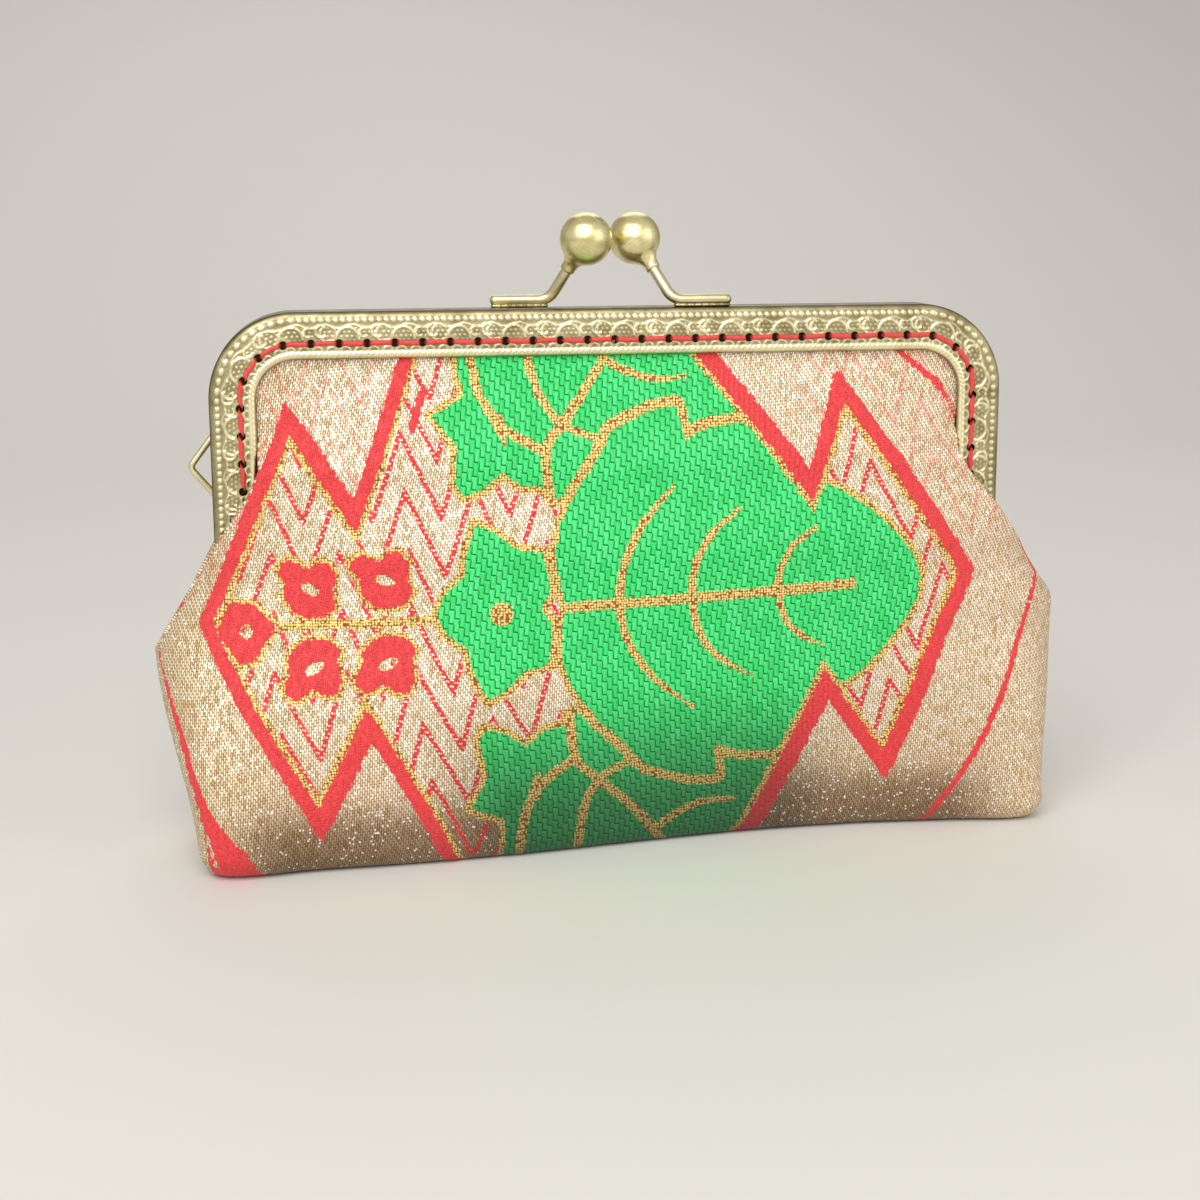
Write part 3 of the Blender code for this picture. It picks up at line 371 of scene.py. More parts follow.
def jacquard_brocade():
    """Silk figured with flat metallic yarn, woven on a jacquard loom.

    Red floats lie close and smooth. Green ones step down in a coarse twill. Gold outlines are rows of knots.
    The ground is cream metallic floats over brown, crossed by broken red picks, with painted glints that show
    where it is dark.
    Painted shade darkens every colour towards the bottom, most under the leaf, and painted light tints the
    ground olive and pinkish at its sides.
    """
    made, tree, shader = new_material("jacquard brocade")
    cloth = node(tree, "Attribute", give="Vector", attribute_name="cloth")
    tint = node(tree, "Attribute", give="Vector", attribute_name="tint")
    painted_shade = node(tree, "Attribute", give="Vector", attribute_name="painted_shade")
    drawn = {name: node(tree, "Attribute", give="Fac", attribute_name=name)
             for name in ("band", "leaf", "green", "vein", "blossom", "border", "zigzag", "picks")}

    # The ends of the floats at a colour's edge fall up to 0.25 mm either side of the drawn line
    ends = node(tree, "Mapping", {0: cloth, 3: (2.6, 1.1, 1)})
    ends = node(tree, "VectorMath", {0: ends}, operation="FLOOR")
    ends = node(tree, "TexWhiteNoise", {"Vector": ends}, give="Value", noise_dimensions="2D")
    ends = node(tree, "Math", {0: ends, 1: 0.5, 2: -0.25}, operation="MULTIPLY_ADD")
    stepped = {name: node(tree, "Math", {0: drawn[name], 1: ends}, operation="ADD")
               for name in ("band", "leaf", "green", "vein", "blossom", "border")}

    def within(name, low, high):
        """1 where a stepped field lies between two distances."""
        middle, reach = (low + high) / 2, (high - low) / 2
        return node(tree, "Math", {0: stepped[name], 1: middle, 2: reach}, operation="COMPARE")

    def floats(width, length, shift, lean, gap):
        """Yarn floats in columns, each column shifted along from the last.

        Returns a point's place across and along its float, the float's random number, and its rounded height.
        """
        cells = {0: cloth, 2: (0, 0, -lean), 3: (width, length, 1)}
        turned = node(tree, "Mapping", cells, vector_type="TEXTURE")
        apart = node(tree, "SeparateXYZ", {0: turned}).node.outputs
        column = node(tree, "Math", {0: apart[0]}, operation="FLOOR")
        along = node(tree, "Math", {0: column, 1: shift, 2: apart[1]}, operation="MULTIPLY_ADD")
        cell = node(tree, "CombineXYZ", {0: column, 1: node(tree, "Math", {0: along}, operation="FLOOR")})
        chance = node(tree, "TexWhiteNoise", {"Vector": cell}, give="Value", noise_dimensions="2D")
        rise = []
        for way, edge in ((apart[0], gap), (along, gap * width / length * 1.6)):
            fold = node(tree, "Math", {0: way, 1: 0.5}, operation="PINGPONG")
            rise.append(node(tree, "Math", {0: fold, 1: edge}, operation="DIVIDE", use_clamp=True))
        height = node(tree, "Math", {0: rise[0], 1: rise[1]}, operation="MULTIPLY")
        return (node(tree, "Math", {0: apart[0]}, operation="FRACT"),
                node(tree, "Math", {0: along}, operation="FRACT"), chance, height)

    # Ground: floats 1.1 mm long and 0.42 mm wide, leaning a little, most of them cream, and a few painted white
    # as painted glints
    _, _, chance, ground_height = floats(0.42, 1.1, 0.39, 0.2, 0.3)
    yarn = node(tree, "ValToRGB", {0: chance}).node
    yarn.color_ramp.elements[0].color = linear("#FFFBE8")
    yarn.color_ramp.elements[1].color = linear("#E6CB9A")
    yarn.color_ramp.elements.new(0.75).color = linear("#FBEDD0")
    ground = {0: ground_height, 6: linear("#A0784A"), 7: yarn.outputs[0]}
    ground = node(tree, "Mix", ground, give=2, data_type="RGBA")
    # Painted light and shade: the tint turns the ground olive to the left and pinkish to the right, and darkens
    # it towards the bottom
    ground = node(tree, "VectorMath", {0: ground, 1: tint}, operation="MULTIPLY")
    # Painted glints: a few cells 0.3 mm across are painted white
    painted_glint = node(tree, "VectorMath", {0: cloth, 1: (0.3, 0.3, 1)}, operation="SNAP")
    painted_glint = node(tree, "TexWhiteNoise", {"Vector": painted_glint}, give="Value", noise_dimensions="2D")
    painted_glint = node(tree, "Math", {0: painted_glint, 1: 0.968}, operation="GREATER_THAN")
    ground = node(tree, "Mix", {0: painted_glint, 6: ground, 7: linear("#FFFFFF")}, give=2, data_type="RGBA")

    # Red picks: one zigzag above another, each broken into stitches 1.1 mm long
    _, stitch, _, _ = floats(0.76, 1.5, 0.5, 0.16, 0.28)
    row = node(tree, "Math", {0: drawn["zigzag"], 1: ZIGZAG_RISE}, operation="FLOORED_MODULO")
    row = node(tree, "Math", {0: row, 1: ZIGZAG_RISE / 2, 2: 1.25}, operation="COMPARE")
    short = node(tree, "Math", {0: stitch, 1: 0.76}, operation="LESS_THAN")
    picks = node(tree, "Math", {0: short, 1: row}, operation="MULTIPLY")
    picks = node(tree, "Math", {0: picks, 1: drawn["picks"]}, operation="MULTIPLY")

    # Green: floats 2.5 mm long and 1 mm wide, each 1.5 mm lower than the last, with painted shade in the dark
    # gaps between them
    across, along, green_chance, green_height = floats(1.0, 2.5, 0.6, 0.12, 0.2)
    side = node(tree, "Math", {0: across, 1: 0.2}, operation="LESS_THAN")
    upper = node(tree, "Math", {0: along, 1: 0.62}, operation="LESS_THAN")
    side = node(tree, "Math", {0: side, 1: upper}, operation="MULTIPLY")
    end = node(tree, "Math", {0: along, 1: 0.11}, operation="LESS_THAN")
    shade = node(tree, "Math", {0: side, 1: end}, operation="MAXIMUM")
    green = {0: green_chance, 6: linear("#25D866"), 7: linear("#4CEE86")}
    green = node(tree, "Mix", green, give=2, data_type="RGBA")
    fine = node(tree, "Mapping", {0: cloth, 3: (5.5, 1.2, 1)})
    fine = node(tree, "TexNoise", {"Vector": fine, "Scale": 1.0, "Detail": 1.0})
    fine = node(tree, "MapRange", {0: fine, 1: 0.45, 2: 0.75, 3: 0, 4: 0.65})
    green = node(tree, "Mix", {0: fine, 6: green, 7: linear("#0EB552")}, give=2, data_type="RGBA")
    shade = node(tree, "Math", {0: shade, 1: 0.92}, operation="MULTIPLY")
    green = node(tree, "Mix", {0: shade, 6: green, 7: linear("#046B2E")}, give=2, data_type="RGBA")
    # Painted shade: the green is darkened towards the bottom here, and once more with every colour below
    green = node(tree, "VectorMath", {0: green, 1: painted_shade}, operation="MULTIPLY")

    # Gold: knots 0.5 mm across, with a painted highlight pale on top and painted shade amber at their feet, a
    # few of them dark
    knots = {"Vector": cloth, "Scale": 1.95, "Randomness": 0.45}
    knots = node(tree, "TexVoronoi", knots, voronoi_dimensions="2D").node
    gold = node(tree, "ValToRGB", {0: knots.outputs["Distance"]}).node
    gold.color_ramp.elements[0].position = 0.12
    gold.color_ramp.elements[0].color = linear("#FFF2AC")
    gold.color_ramp.elements[1].position = 0.6
    gold.color_ramp.elements[1].color = linear("#7E4A1A")
    gold.color_ramp.elements.new(0.36).color = linear("#EAC160")
    speck = node(tree, "SeparateXYZ", {0: knots.outputs["Color"]})
    speck = node(tree, "Math", {0: speck, 1: 0.93}, operation="GREATER_THAN")
    gold = node(tree, "Mix", {0: speck, 6: gold.outputs[0], 7: linear("#A5552B")}, give=2, data_type="RGBA")

    # Red: floats too fine to show one by one at 0.12 mm, so their weave is drawn as a faint slanting streak
    streak = node(tree, "Mapping", {0: cloth, 2: (0, 0, 0.6), 3: (1.4, 5.0, 1)})
    streak = node(tree, "TexNoise", {"Vector": streak, "Scale": 1.0, "Detail": 2.0})
    red = node(tree, "MapRange", {0: streak, 1: 0.35, 2: 0.65})
    red = node(tree, "Mix", {0: red, 6: linear("#D3262B"), 7: linear("#EE4648")}, give=2, data_type="RGBA")

    # Where each colour comes to the face: the outlines over the green, and the red over all
    far = 99
    is_green = {0: within("green", -far, 0), 1: within("band", BAND_GOLD - 0.1, far)}
    is_green = node(tree, "Math", is_green, operation="MULTIPLY")
    leaf_edge = {0: within("leaf", 0, 1.9), 1: within("green", -far, 1)}
    leaf_edge = node(tree, "Math", leaf_edge, operation="MULTIPLY")
    is_gold = within("green", 0, 1.25)
    for way, line in (("MAXIMUM", leaf_edge),
                      ("MAXIMUM", within("vein", -far, 0)),
                      ("MULTIPLY", within("band", BAND_RED, far)),
                      ("MAXIMUM", within("band", BAND_RED, BAND_GOLD)),
                      ("MAXIMUM", within("blossom", 0, 0.85))):
        is_gold = node(tree, "Math", {0: is_gold, 1: line}, operation=way)
    is_red = within("blossom", -far, 0)
    for line in (within("border", -far, 0), within("band", 0, BAND_RED)):
        is_red = node(tree, "Math", {0: is_red, 1: line}, operation="MAXIMUM")
    colour = ground
    for where, on_top in ((picks, red), (is_green, green), (is_gold, gold), (is_red, red)):
        colour = node(tree, "Mix", {0: where, 6: colour, 7: on_top}, give=2, data_type="RGBA")
    # Painted shade: every colour is darkened towards the bottom, most under the leaf
    colour = node(tree, "VectorMath", {0: colour, 1: painted_shade}, operation="MULTIPLY")

    # The metallic yarn is in the ground and the outlines only
    silk = node(tree, "Math", {0: is_green, 1: is_gold}, operation="SUBTRACT", use_clamp=True)
    silk = node(tree, "Math", {0: silk, 1: is_red}, operation="MAXIMUM")
    metal = node(tree, "MapRange", {0: silk, 1: 0, 2: 1, 3: 0.4, 4: 0})
    glint = node(tree, "MapRange", {0: chance, 1: 0, 2: 1, 3: 0.42, 4: 0.68})
    glint = node(tree, "Mix", {0: silk, 2: glint, 3: 0.6})

    # Each float is rounded, and lies at its own small tilt, which is what glitters
    tilt = node(tree, "Math", {0: chance, 1: ground_height}, operation="MULTIPLY")
    leafy = node(tree, "Math", {0: drawn["green"], 1: 0}, operation="LESS_THAN")
    height = node(tree, "Mix", {0: leafy, 2: tilt, 3: green_height})
    height = node(tree, "Math", {0: height, 1: 1.5}, operation="MULTIPLY")
    bump = node(tree, "Bump", {"Height": height, "Strength": 0.8, "Distance": 0.12 * MM})
    plug(tree, shader, {"Base Color": colour, "Metallic": metal, "Roughness": glint, "Sheen Weight": 0.08,
                        "Normal": bump})
    return made


PANEL_RIM = (0.5, 2.0)  # the radius of the folded edge, and how deep it is turned in
GREEN_RISE, RED_RISE, GOLD_RISE = 0.22, 0.2, 0.12
# What share of red, green and blue the yarns lose: as painted light where they are tinted olive or pinkish, and
# as painted shade where they are darkened towards the bottom
OLIVE, PINKISH = (0.16, 0.21, 0.33), (0.05, 0.12, 0.18)
GROUND_BOTTOM_SHADE, GROUND_LOW_SHADE, YARN_BOTTOM_SHADE = (0.5, 0.58, 0.66), (0.08, 0.15, 0.2), (0.62, 0.6, 0.62)


def ride_or_bend(cloth, where):
    """The front cloth rides with its half. The back cloth bends over to its own half above the side seams."""
    if where == "front":
        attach(cloth, "front_half")
    else:
        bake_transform(cloth, "front_half", "back_half", start=(0, 0, 0.028), end=(0, 0, 0.059))


brocade = jacquard_brocade()
for side, where in HALVES:
    points, across, run = cloth_grid(side, step=0.66, top=95.6)
    along = across * -side
    normals = face_normals(points, side)
    fields = figure(along, run)
    # Figured floats stand a fifth of a millimetre above the ground, and the gold knots a little above those
    from_edge = np.minimum(fields["band"], BAND_RED + 0.2 - fields["band"])
    raised = np.maximum.reduce([GREEN_RISE * np.clip(-fields["green"] / 0.6, 0, 1),
                                RED_RISE * np.clip(from_edge / 0.5, 0, 1),
                                RED_RISE * np.clip(-fields["blossom"] / 0.5, 0, 1)])
    raised = raised + GOLD_RISE * np.clip(-fields["vein"] / 0.4, 0, 1) * (fields["band"] > BAND_RED)
    raised = raised * ease(run - BOTTOM_FLAT, 0, 4)
    panel = grid_mesh(f"{where}_brocade", folded_in(points + normals * raised[..., None], normals, *PANEL_RIM))
    for name, values in fields.items():
        store(panel, name, np.pad(values, PAD, mode="edge").ravel())
    # Painted light: the metallic yarn is tinted olive towards the left and pinkish towards the right
    olive, pinkish = ease(-along, 40, 84), ease(along, 30, 84)
    tint = 1 - olive[..., None] * OLIVE - pinkish[..., None] * PINKISH
    # Painted shade: the ground is darkened along the bottom, except near the corners, and all yarns are
    # darkened under the leaf
    rise = run - WALL_START
    between_corners = 1 - ease(np.abs(along + 4), 62, 80)
    under_leaf = 1 - ease(np.abs(along), 25, 45)
    ground_bottom_shade = (1 - ease(rise, 2, 12)) * between_corners
    # Painted shade too: a wider, fainter band that darkens the ground towards the bottom
    wear_and_shade = (1 - ease(rise, 8, 20)) * between_corners
    tint = tint * (1 - ground_bottom_shade[..., None] * GROUND_BOTTOM_SHADE) * (1 - wear_and_shade[..., None] * GROUND_LOW_SHADE)
    # Painted shade over all yarns: along the bottom between the corners, and higher up under the leaf
    bottom_shade_share = 0.45 * (1 - ease(rise, -2, 10)) * between_corners
    bottom_shade_share = np.maximum(bottom_shade_share, (1 - ease(rise, -2, 30)) * under_leaf)
    painted_shade = 1 - bottom_shade_share[..., None] * YARN_BOTTOM_SHADE
    flat = np.stack([along, run, np.zeros_like(run)], axis=-1)
    for name, values in (("cloth", flat), ("tint", tint), ("painted_shade", painted_shade)):
        store(panel, name, np.pad(values, (*PAD, (0, 0)), mode="edge").reshape(-1, 3))
    panel.data.materials.append(brocade)
    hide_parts(f"{where}_panel")
    ride_or_bend(panel, where)


# Linings
# Thin satin, cut like the outer panels and bagged out with them, so it hangs a little inside the brocade.
# Its upper edge lies in the channel behind the brocade's and is held by the same stitches.

def acetate_satin():
    """Acetate satin: a smooth face with a soft sheen, and slubs 0.2 mm thick and 3 mm long along the weft."""
    made, tree, shader = new_material("acetate satin")
    place = node(tree, "TexCoord", give="Object")
    weft = node(tree, "Mapping", {0: place, 3: (0.3 / MM, 0.3 / MM, 5.2 / MM)})
    weft = node(tree, "TexNoise", {"Vector": weft, "Scale": 1.0, "Detail": 2.0})
    colour = {0: weft, 6: linear("#8E1B1B"), 7: linear("#B3302B")}
    colour = node(tree, "Mix", colour, give=2, data_type="RGBA")
    bump = node(tree, "Bump", {"Height": weft, "Strength": 0.25, "Distance": 0.1 * MM})
    plug(tree, shader, {"Base Color": colour, "Roughness": 0.38, "Sheen Weight": 0.25, "Normal": bump})
    return made


satin = acetate_satin()
INSIDE_ARMS = [(41.5, 87), (46.8, 76.1), (50.8, 65.7), (79.5, 65.8), (NOTCH, 73.7)]
LINING_GAP = 1.5  # inside the brocade, and over the floor
MOUTH, MOUTH_GAP = 70, 1.3  # above this height it stays this far from the parting plane
LINING_RIM = (0.25, 1.0)
for side, where in HALVES:
    points, across, run = cloth_grid(side, step=2.0, top=95.0, edges=(INSIDE_ARMS, INSIDE_ARMS))
    normals = face_normals(points, side)
    inner = points - normals * LINING_GAP
    least = np.where(points[..., 2] > MOUTH, MOUTH_GAP, -HALF_DEPTH)
    inner[..., 1] = side * np.maximum(side * inner[..., 1], least)
    inner[..., 2] = np.where(run < BOTTOM_FLAT, np.maximum(inner[..., 2], LINING_GAP), inner[..., 2])
    lining = grid_mesh(f"{where}_satin", folded_in(inner[:, 1:-1], normals[:, 1:-1], *LINING_RIM))
    lining.data.materials.append(satin)
    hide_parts(f"{where}_lining")
    ride_or_bend(lining, where)


# Frame halves
# Sheet brass rolled into a channel, embossed on its outer face, pierced along the middle and bent to an arch.
# It is plated antique brass: dark in the hollows and rubbed pale on the beads and scrolls.

FACE_WIDTH, FACE_DEPTH = 8.6, 4.9
ROLL = 1.1  # the radius of its rolled outer edge
ARM_END = 58.9
HOLE_PITCH, HOLE_INSET, HOLE_RADIUS, LIP_RADIUS = 5.1, 5.7, 0.8, 1.5
HOLES_EACH_WAY = 18
HOLE_BOTTOM = 4.2  # how far from the parting plane a hole's wall ends
BEAD_PITCH, BEAD_INSET, ROPE_PITCH, ROPE_INSET = 1.32, 1.5, 1.05, 7.75
SCROLL_PITCH, SCROLL_INSET, DOT_PITCH, DOT_INSET = 10.2, 5.0, 0.9, 2.9


def arch(distance, inset):
    """Points (x, z) at distances along the arch at an inset from its edge, from the middle of the top."""
    radius = CORNER - inset
    along = np.abs(distance)
    turn = np.clip((along - HALF_STRAIGHT) / radius, 0, math.pi / 2)
    down = np.maximum(along - HALF_STRAIGHT - radius * math.pi / 2, 0)
    x = np.minimum(along, HALF_STRAIGHT) + radius * np.sin(turn)
    z = ARM_TOP + radius * np.cos(turn) - down
    return np.sign(distance) * x, z


def ridge_line(distance, width, height):
    """The height of a soft ridge at a distance from its crest."""
    return height * np.exp(-(distance / width) ** 2)


def relief(s, n):
    """Height (mm) of the embossing, at a distance along and an inset: beads, scrolls, dots, lunettes, rope."""
    def nearest(value, pitch, start=0.0):
        """How far a place is from the nearest of a row."""
        return (value - start + pitch / 2) % pitch - pitch / 2

    def granules(away, radius, height):
        """The height of round grains at a distance from their middles."""
        return height * np.sqrt(np.clip(1 - (away / radius) ** 2, 0, 1))

    bead = granules(np.hypot(nearest(s, BEAD_PITCH), n - BEAD_INSET), 0.5, 0.18)
    strands = np.cos(math.tau * (s + 0.9 * (n - ROPE_INSET)) / ROPE_PITCH)
    rope = granules(n - ROPE_INSET, 0.62, 0.36) * (0.86 + 0.14 * strands)
    u, v = nearest(s, SCROLL_PITCH), n - SCROLL_INSET
    drop = np.hypot(nearest(s, SCROLL_PITCH / 4, SCROLL_PITCH / 8), n - 7.15)
    scroll = np.maximum.reduce([
        ridge_line(np.hypot(u - 1.6, v + 0.2) - 2.05, 0.2, 0.28) * (v < 0),
        ridge_line(np.hypot(u + 3.2, v + 1.5) - 1.05, 0.18, 0.26) * (u < -2.4),
        ridge_line(np.hypot(u + 1.9, v + 1.05) - 1.5, 0.18, 0.24) * (v > -2.2) * (u < -0.6),
        ridge_line(np.hypot(u - 4.6, v + 1.25) - 0.8, 0.17, 0.26),
        ridge_line(v + 2.35 - 0.35 * np.cos(2 * math.tau * u / SCROLL_PITCH), 0.16, 0.14),
        ridge_line(drop - 0.85, 0.16, 0.2) * (n < 7.1)])
    rows = 0.78
    odd = np.floor((n - DOT_INSET + rows / 2) / rows) % 2
    dots = np.hypot(nearest(s + DOT_PITCH / 2 * odd, DOT_PITCH), nearest(n - DOT_INSET, rows))
    dots = granules(dots, 0.27, 0.1) * (n > 2.5) * (n < 5.2) * (scroll < 0.06)
    return np.maximum.reduce([bead, rope, scroll, dots])


def channel_section():
    """The rolled sheet, as insets and depths once round, where its embossed face starts and how many it has."""
    arc = np.radians(np.linspace(180, 90, 9))
    faces = np.arange(ROLL, FACE_WIDTH - 0.25, 0.19)
    crown = FACE_DEPTH + 0.28 * (1 - ((faces - 5.0) / 3.9) ** 2)
    inset = [0, 0, *(ROLL + ROLL * np.cos(arc)), *faces, 8.5, FACE_WIDTH, 8.5,
             7.0, 4.0, 1.4, 0.7, 0.6, 0.9, 3.5, 6.8, 7.0, 6.9, 5.0, 2.0]
    depth = [0.25, 1.6, *(FACE_DEPTH - ROLL + ROLL * np.sin(arc)), *crown, FACE_DEPTH, 4.6, 4.25,
             4.2, 4.2, 4.1, 3.4, 1.6, 0.95, 0.85, 0.85, 0.55, 0.25, 0.25, 0.25]
    return np.array(inset), np.array(depth), len(arc) + 2, len(faces)


def at_inset(edge, inset):
    """The distance along the arch at an inset, for a place given by its distance along the outer edge."""
    beyond = np.abs(edge) - HALF_STRAIGHT
    quarter = CORNER * math.pi / 2
    bend = np.clip(beyond, 0, quarter) * (CORNER - inset) / CORNER
    return np.sign(edge) * (np.minimum(np.abs(edge), HALF_STRAIGHT) + bend + np.maximum(beyond - quarter, 0))


def close_ends(piece):
    """Fills a tube's open ends, and turns all its faces outwards."""
    bm = bmesh.new()
    bm.from_mesh(piece.data)
    bmesh.ops.holes_fill(bm, edges=[e for e in bm.edges if e.is_boundary], sides=0)
    bmesh.ops.recalc_face_normals(bm, faces=bm.faces)
    bm.to_mesh(piece.data)
    bm.free()
    piece.data.shade_smooth()


def frame_half(name, side):
    """One channel as a tube closed at both ends, with its embossing, its holes and their walls."""
    inset, depth, first, count = channel_section()
    bend_end = HALF_STRAIGHT + CORNER * math.pi / 2
    right = np.concatenate([np.linspace(HALF_STRAIGHT, bend_end, 112)[1:],
                            np.linspace(bend_end, bend_end + ARM_TOP - ARM_END, 120)[1:]])
    stations = np.concatenate([-right[::-1], np.linspace(-HALF_STRAIGHT, HALF_STRAIGHT, 561), right])
    edge, n = np.meshgrid(stations, inset, indexing="ij")
    # The embossing and the holes are laid out along the stitch line, so that they run square across the arms
    s = at_inset(edge, HOLE_INSET)
    on_face = np.zeros(len(inset), bool)
    on_face[first - 2:first + count + 1] = True
    d = np.broadcast_to(depth, s.shape)
    height = np.where(on_face, relief(s, n), 0)
    hole = np.round(s / HOLE_PITCH) * HOLE_PITCH
    away = np.hypot(s - hole, n - HOLE_INSET)
    lip = on_face & (away < LIP_RADIUS)
    height = np.where(lip, height * ease(away, 0.95, LIP_RADIUS) + ridge_line(away - 1.05, 0.25, 0.06), height)
    pierced = on_face & (np.abs(s) < (HOLES_EACH_WAY + 0.5) * HOLE_PITCH)
    on_rim = pierced & (np.abs(away - HOLE_RADIUS) < 0.14)
    scale = np.where(on_rim, HOLE_RADIUS / np.maximum(away, 1e-6), 1)
    s = hole + (s - hole) * scale
    n = HOLE_INSET + (n - HOLE_INSET) * scale
    half = stations[stations >= 0]
    edge = np.sign(s) * np.interp(np.abs(s), at_inset(half, HOLE_INSET), half)
    x, z = arch(at_inset(edge, n), n)
    made = grid_mesh(name, np.stack([x, side * (d + height), z], axis=-1), closed_across=True)
    # What the holes show behind the face is in shade
    in_shade = (n < 7.5) & ~on_face & (d > 3.2) & (d < 4.24)
    store(made, "wear_and_shade", np.where(in_shade, -1, height).ravel())
    bm = bmesh.new()
    bm.from_mesh(made.data)
    bm.verts.ensure_lookup_table()
    inside = (pierced & (np.hypot(s - hole, n - HOLE_INSET) < HOLE_RADIUS + 0.01)).ravel()
    gone = [f for f in bm.faces if all(inside[v.index] for v in f.verts)]
    bmesh.ops.delete(bm, geom=gone, context="FACES")
    bmesh.ops.delete(bm, geom=[v for v in bm.verts if not v.link_faces], context="VERTS")
    rims = [e for e in bm.edges if e.is_boundary and abs(e.verts[0].co.y) > (HOLE_BOTTOM + 0.3) * MM]
    walls = bmesh.ops.extrude_edge_only(bm, edges=rims)["geom"]
    wear_and_shade = bm.verts.layers.float["wear_and_shade"]
    # Painted shade: the holes' walls are marked to be painted nearly black
    for v in walls:
        if isinstance(v, bmesh.types.BMVert):
            v.co.y = side * HOLE_BOTTOM * MM
            v[wear_and_shade] = -1
    ends = [e for e in bm.edges if e.is_boundary and e.verts[0].co.z < (ARM_END + 0.1) * MM]
    bmesh.ops.holes_fill(bm, edges=ends, sides=0)
    bmesh.ops.recalc_face_normals(bm, faces=bm.faces)
    bm.to_mesh(made.data)
    bm.free()
    made.data.shade_smooth()
    made.data.set_sharp_from_angle(angle=math.radians(55))
    return made


def antiqued_plate():
    """Brass plate, darkened and then polished by rubbing: brown in its hollows, pale yellow where hands polish
    it.
    """
    made, tree, shader = new_material("antiqued brass plate")
    height = node(tree, "Attribute", give="Fac", attribute_name="wear_and_shade")
    place = node(tree, "TexCoord", give="Object")
    # Tarnish lies in blotches some 4.5 mm across, and the plate's grain is 0.7 mm
    tarnish = node(tree, "TexNoise", {"Vector": place, "Scale": 0.22 / MM, "Detail": 4.0, "Roughness": 0.6})
    tarnish = node(tree, "MapRange", {0: tarnish, 1: 0.35, 2: 0.7, 3: 0, 4: 0.35})
    rub = node(tree, "MapRange", {0: height, 1: 0.0, 2: 0.2, 3: 0.0, 4: 0.8})
    rub = node(tree, "Math", {0: rub, 1: tarnish}, operation="ADD")
    colour = node(tree, "Mix", {0: rub, 6: linear("#857853"), 7: linear("#F4E9BC")}, give=2, data_type="RGBA")
    # Painted shade: inside the stitch holes, and where they show the layer behind, the plate is painted nearly
    # black
    out_of_shade = node(tree, "MapRange", {0: height, 1: -0.6, 2: 0, 3: 0.03, 4: 1})
    colour = node(tree, "Mix", {0: out_of_shade, 6: linear("#231A10"), 7: colour}, give=2, data_type="RGBA")
    rough = node(tree, "MapRange", {0: rub, 1: 0, 2: 1, 3: 0.45, 4: 0.28})
    grain = node(tree, "TexNoise", {"Vector": place, "Scale": 1.5 / MM, "Detail": 1.0})
    bump = node(tree, "Bump", {"Height": grain, "Strength": 0.12, "Distance": 0.05 * MM})
    plug(tree, shader, {"Base Color": colour, "Metallic": 1.0, "Roughness": rough, "Normal": bump})
    return made


EAR_RADIUS, EAR_THICKNESS, EAR_FACE = 3.2, 0.7, 74.2
NECK = (58.2, 59.3)  # the heights between which it narrows into the channel
JOGGLE, JOGGLED = 1.1, (58.25, 59.2)  # how far the back's ears step inwards, and between which heights


def evenly_worn(piece, share):
    """The same wear all over a piece, for its brass to read."""
    store(piece, "wear_and_shade", np.full(len(piece.data.vertices), share))


antique_brass = antiqued_plate()
for side, where in HALVES:
    half = frame_half(f"{where}_embossed_channel", side)
    half.data.materials.append(antique_brass)
    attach(half, f"{where}_half")
    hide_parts(f"{where}_frame")

    # Each end carries a flat ear on a neck; the back's are joggled inwards to pass beside the front's
    for end, hand in ((-1, "left"), (1, "right")):
        z = np.concatenate([np.linspace(HINGE - EAR_RADIUS + 0.02, NECK[0] - 0.02, 34),
                            np.linspace(NECK[0] + 0.02, NECK[1], 8)])
        round_ear = np.sqrt(np.clip(EAR_RADIUS ** 2 - (z - HINGE) ** 2, 0.01, None))
        outer = np.where(z < HINGE, round_ear, np.interp(z, [HINGE, 57.5], [EAR_RADIUS, 4]))
        inner = np.where(z < NECK[0], -round_ear, 1)
        step = 0 if where == "front" else JOGGLE * (1 - ease(z, *JOGGLED))
        start = np.broadcast_to(EAR_FACE - step, z.shape)
        thick = EAR_THICKNESS - np.array([0.58, 0.12, 0, 0, 0.12, 0.58, EAR_THICKNESS, EAR_THICKNESS])
        share = np.array([0, 0, 0.04, 0.96, 1, 1, 0.96, 0.04])
        x = end * (start[:, None] + thick)
        y = side * (inner[:, None] + (outer - inner)[:, None] * share)
        ear = grid_mesh(f"{where}_{hand}_ear", np.stack([x, y, np.broadcast_to(z[:, None], x.shape)], axis=-1),
                        closed_across=True)
        close_ends(ear)
        ear.data.set_sharp_from_angle(angle=math.radians(40))
        evenly_worn(ear, 0.08)
        ear.data.materials.append(antique_brass)
        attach(ear, f"{where}_half")


# Stitching
# One waxed polyester thread per half, two plies twisted, down every hole and flat over the face between.

def waxed_polyester():
    """Waxed polyester thread: coral red, with a low waxy sheen, and fibres that show as 0.4 mm flecks."""
    made, tree, shader = new_material("waxed polyester thread")
    place = node(tree, "TexCoord", give="Object")
    fibre = node(tree, "TexNoise", {"Vector": place, "Scale": 2.6 / MM, "Detail": 3.0})
    colour = {0: fibre, 6: linear("#BE2C2C"), 7: linear("#EC5450")}
    colour = node(tree, "Mix", colour, give=2, data_type="RGBA")
    plug(tree, shader, {"Base Color": colour, "Roughness": 0.5})
    return made


THREAD_RADIUS, TWIST_PITCH = 0.34, 2.1
OVER_FACE, DIVE = 5.3, 2.1  # how far out the thread lies, and how much deeper it goes in a hole

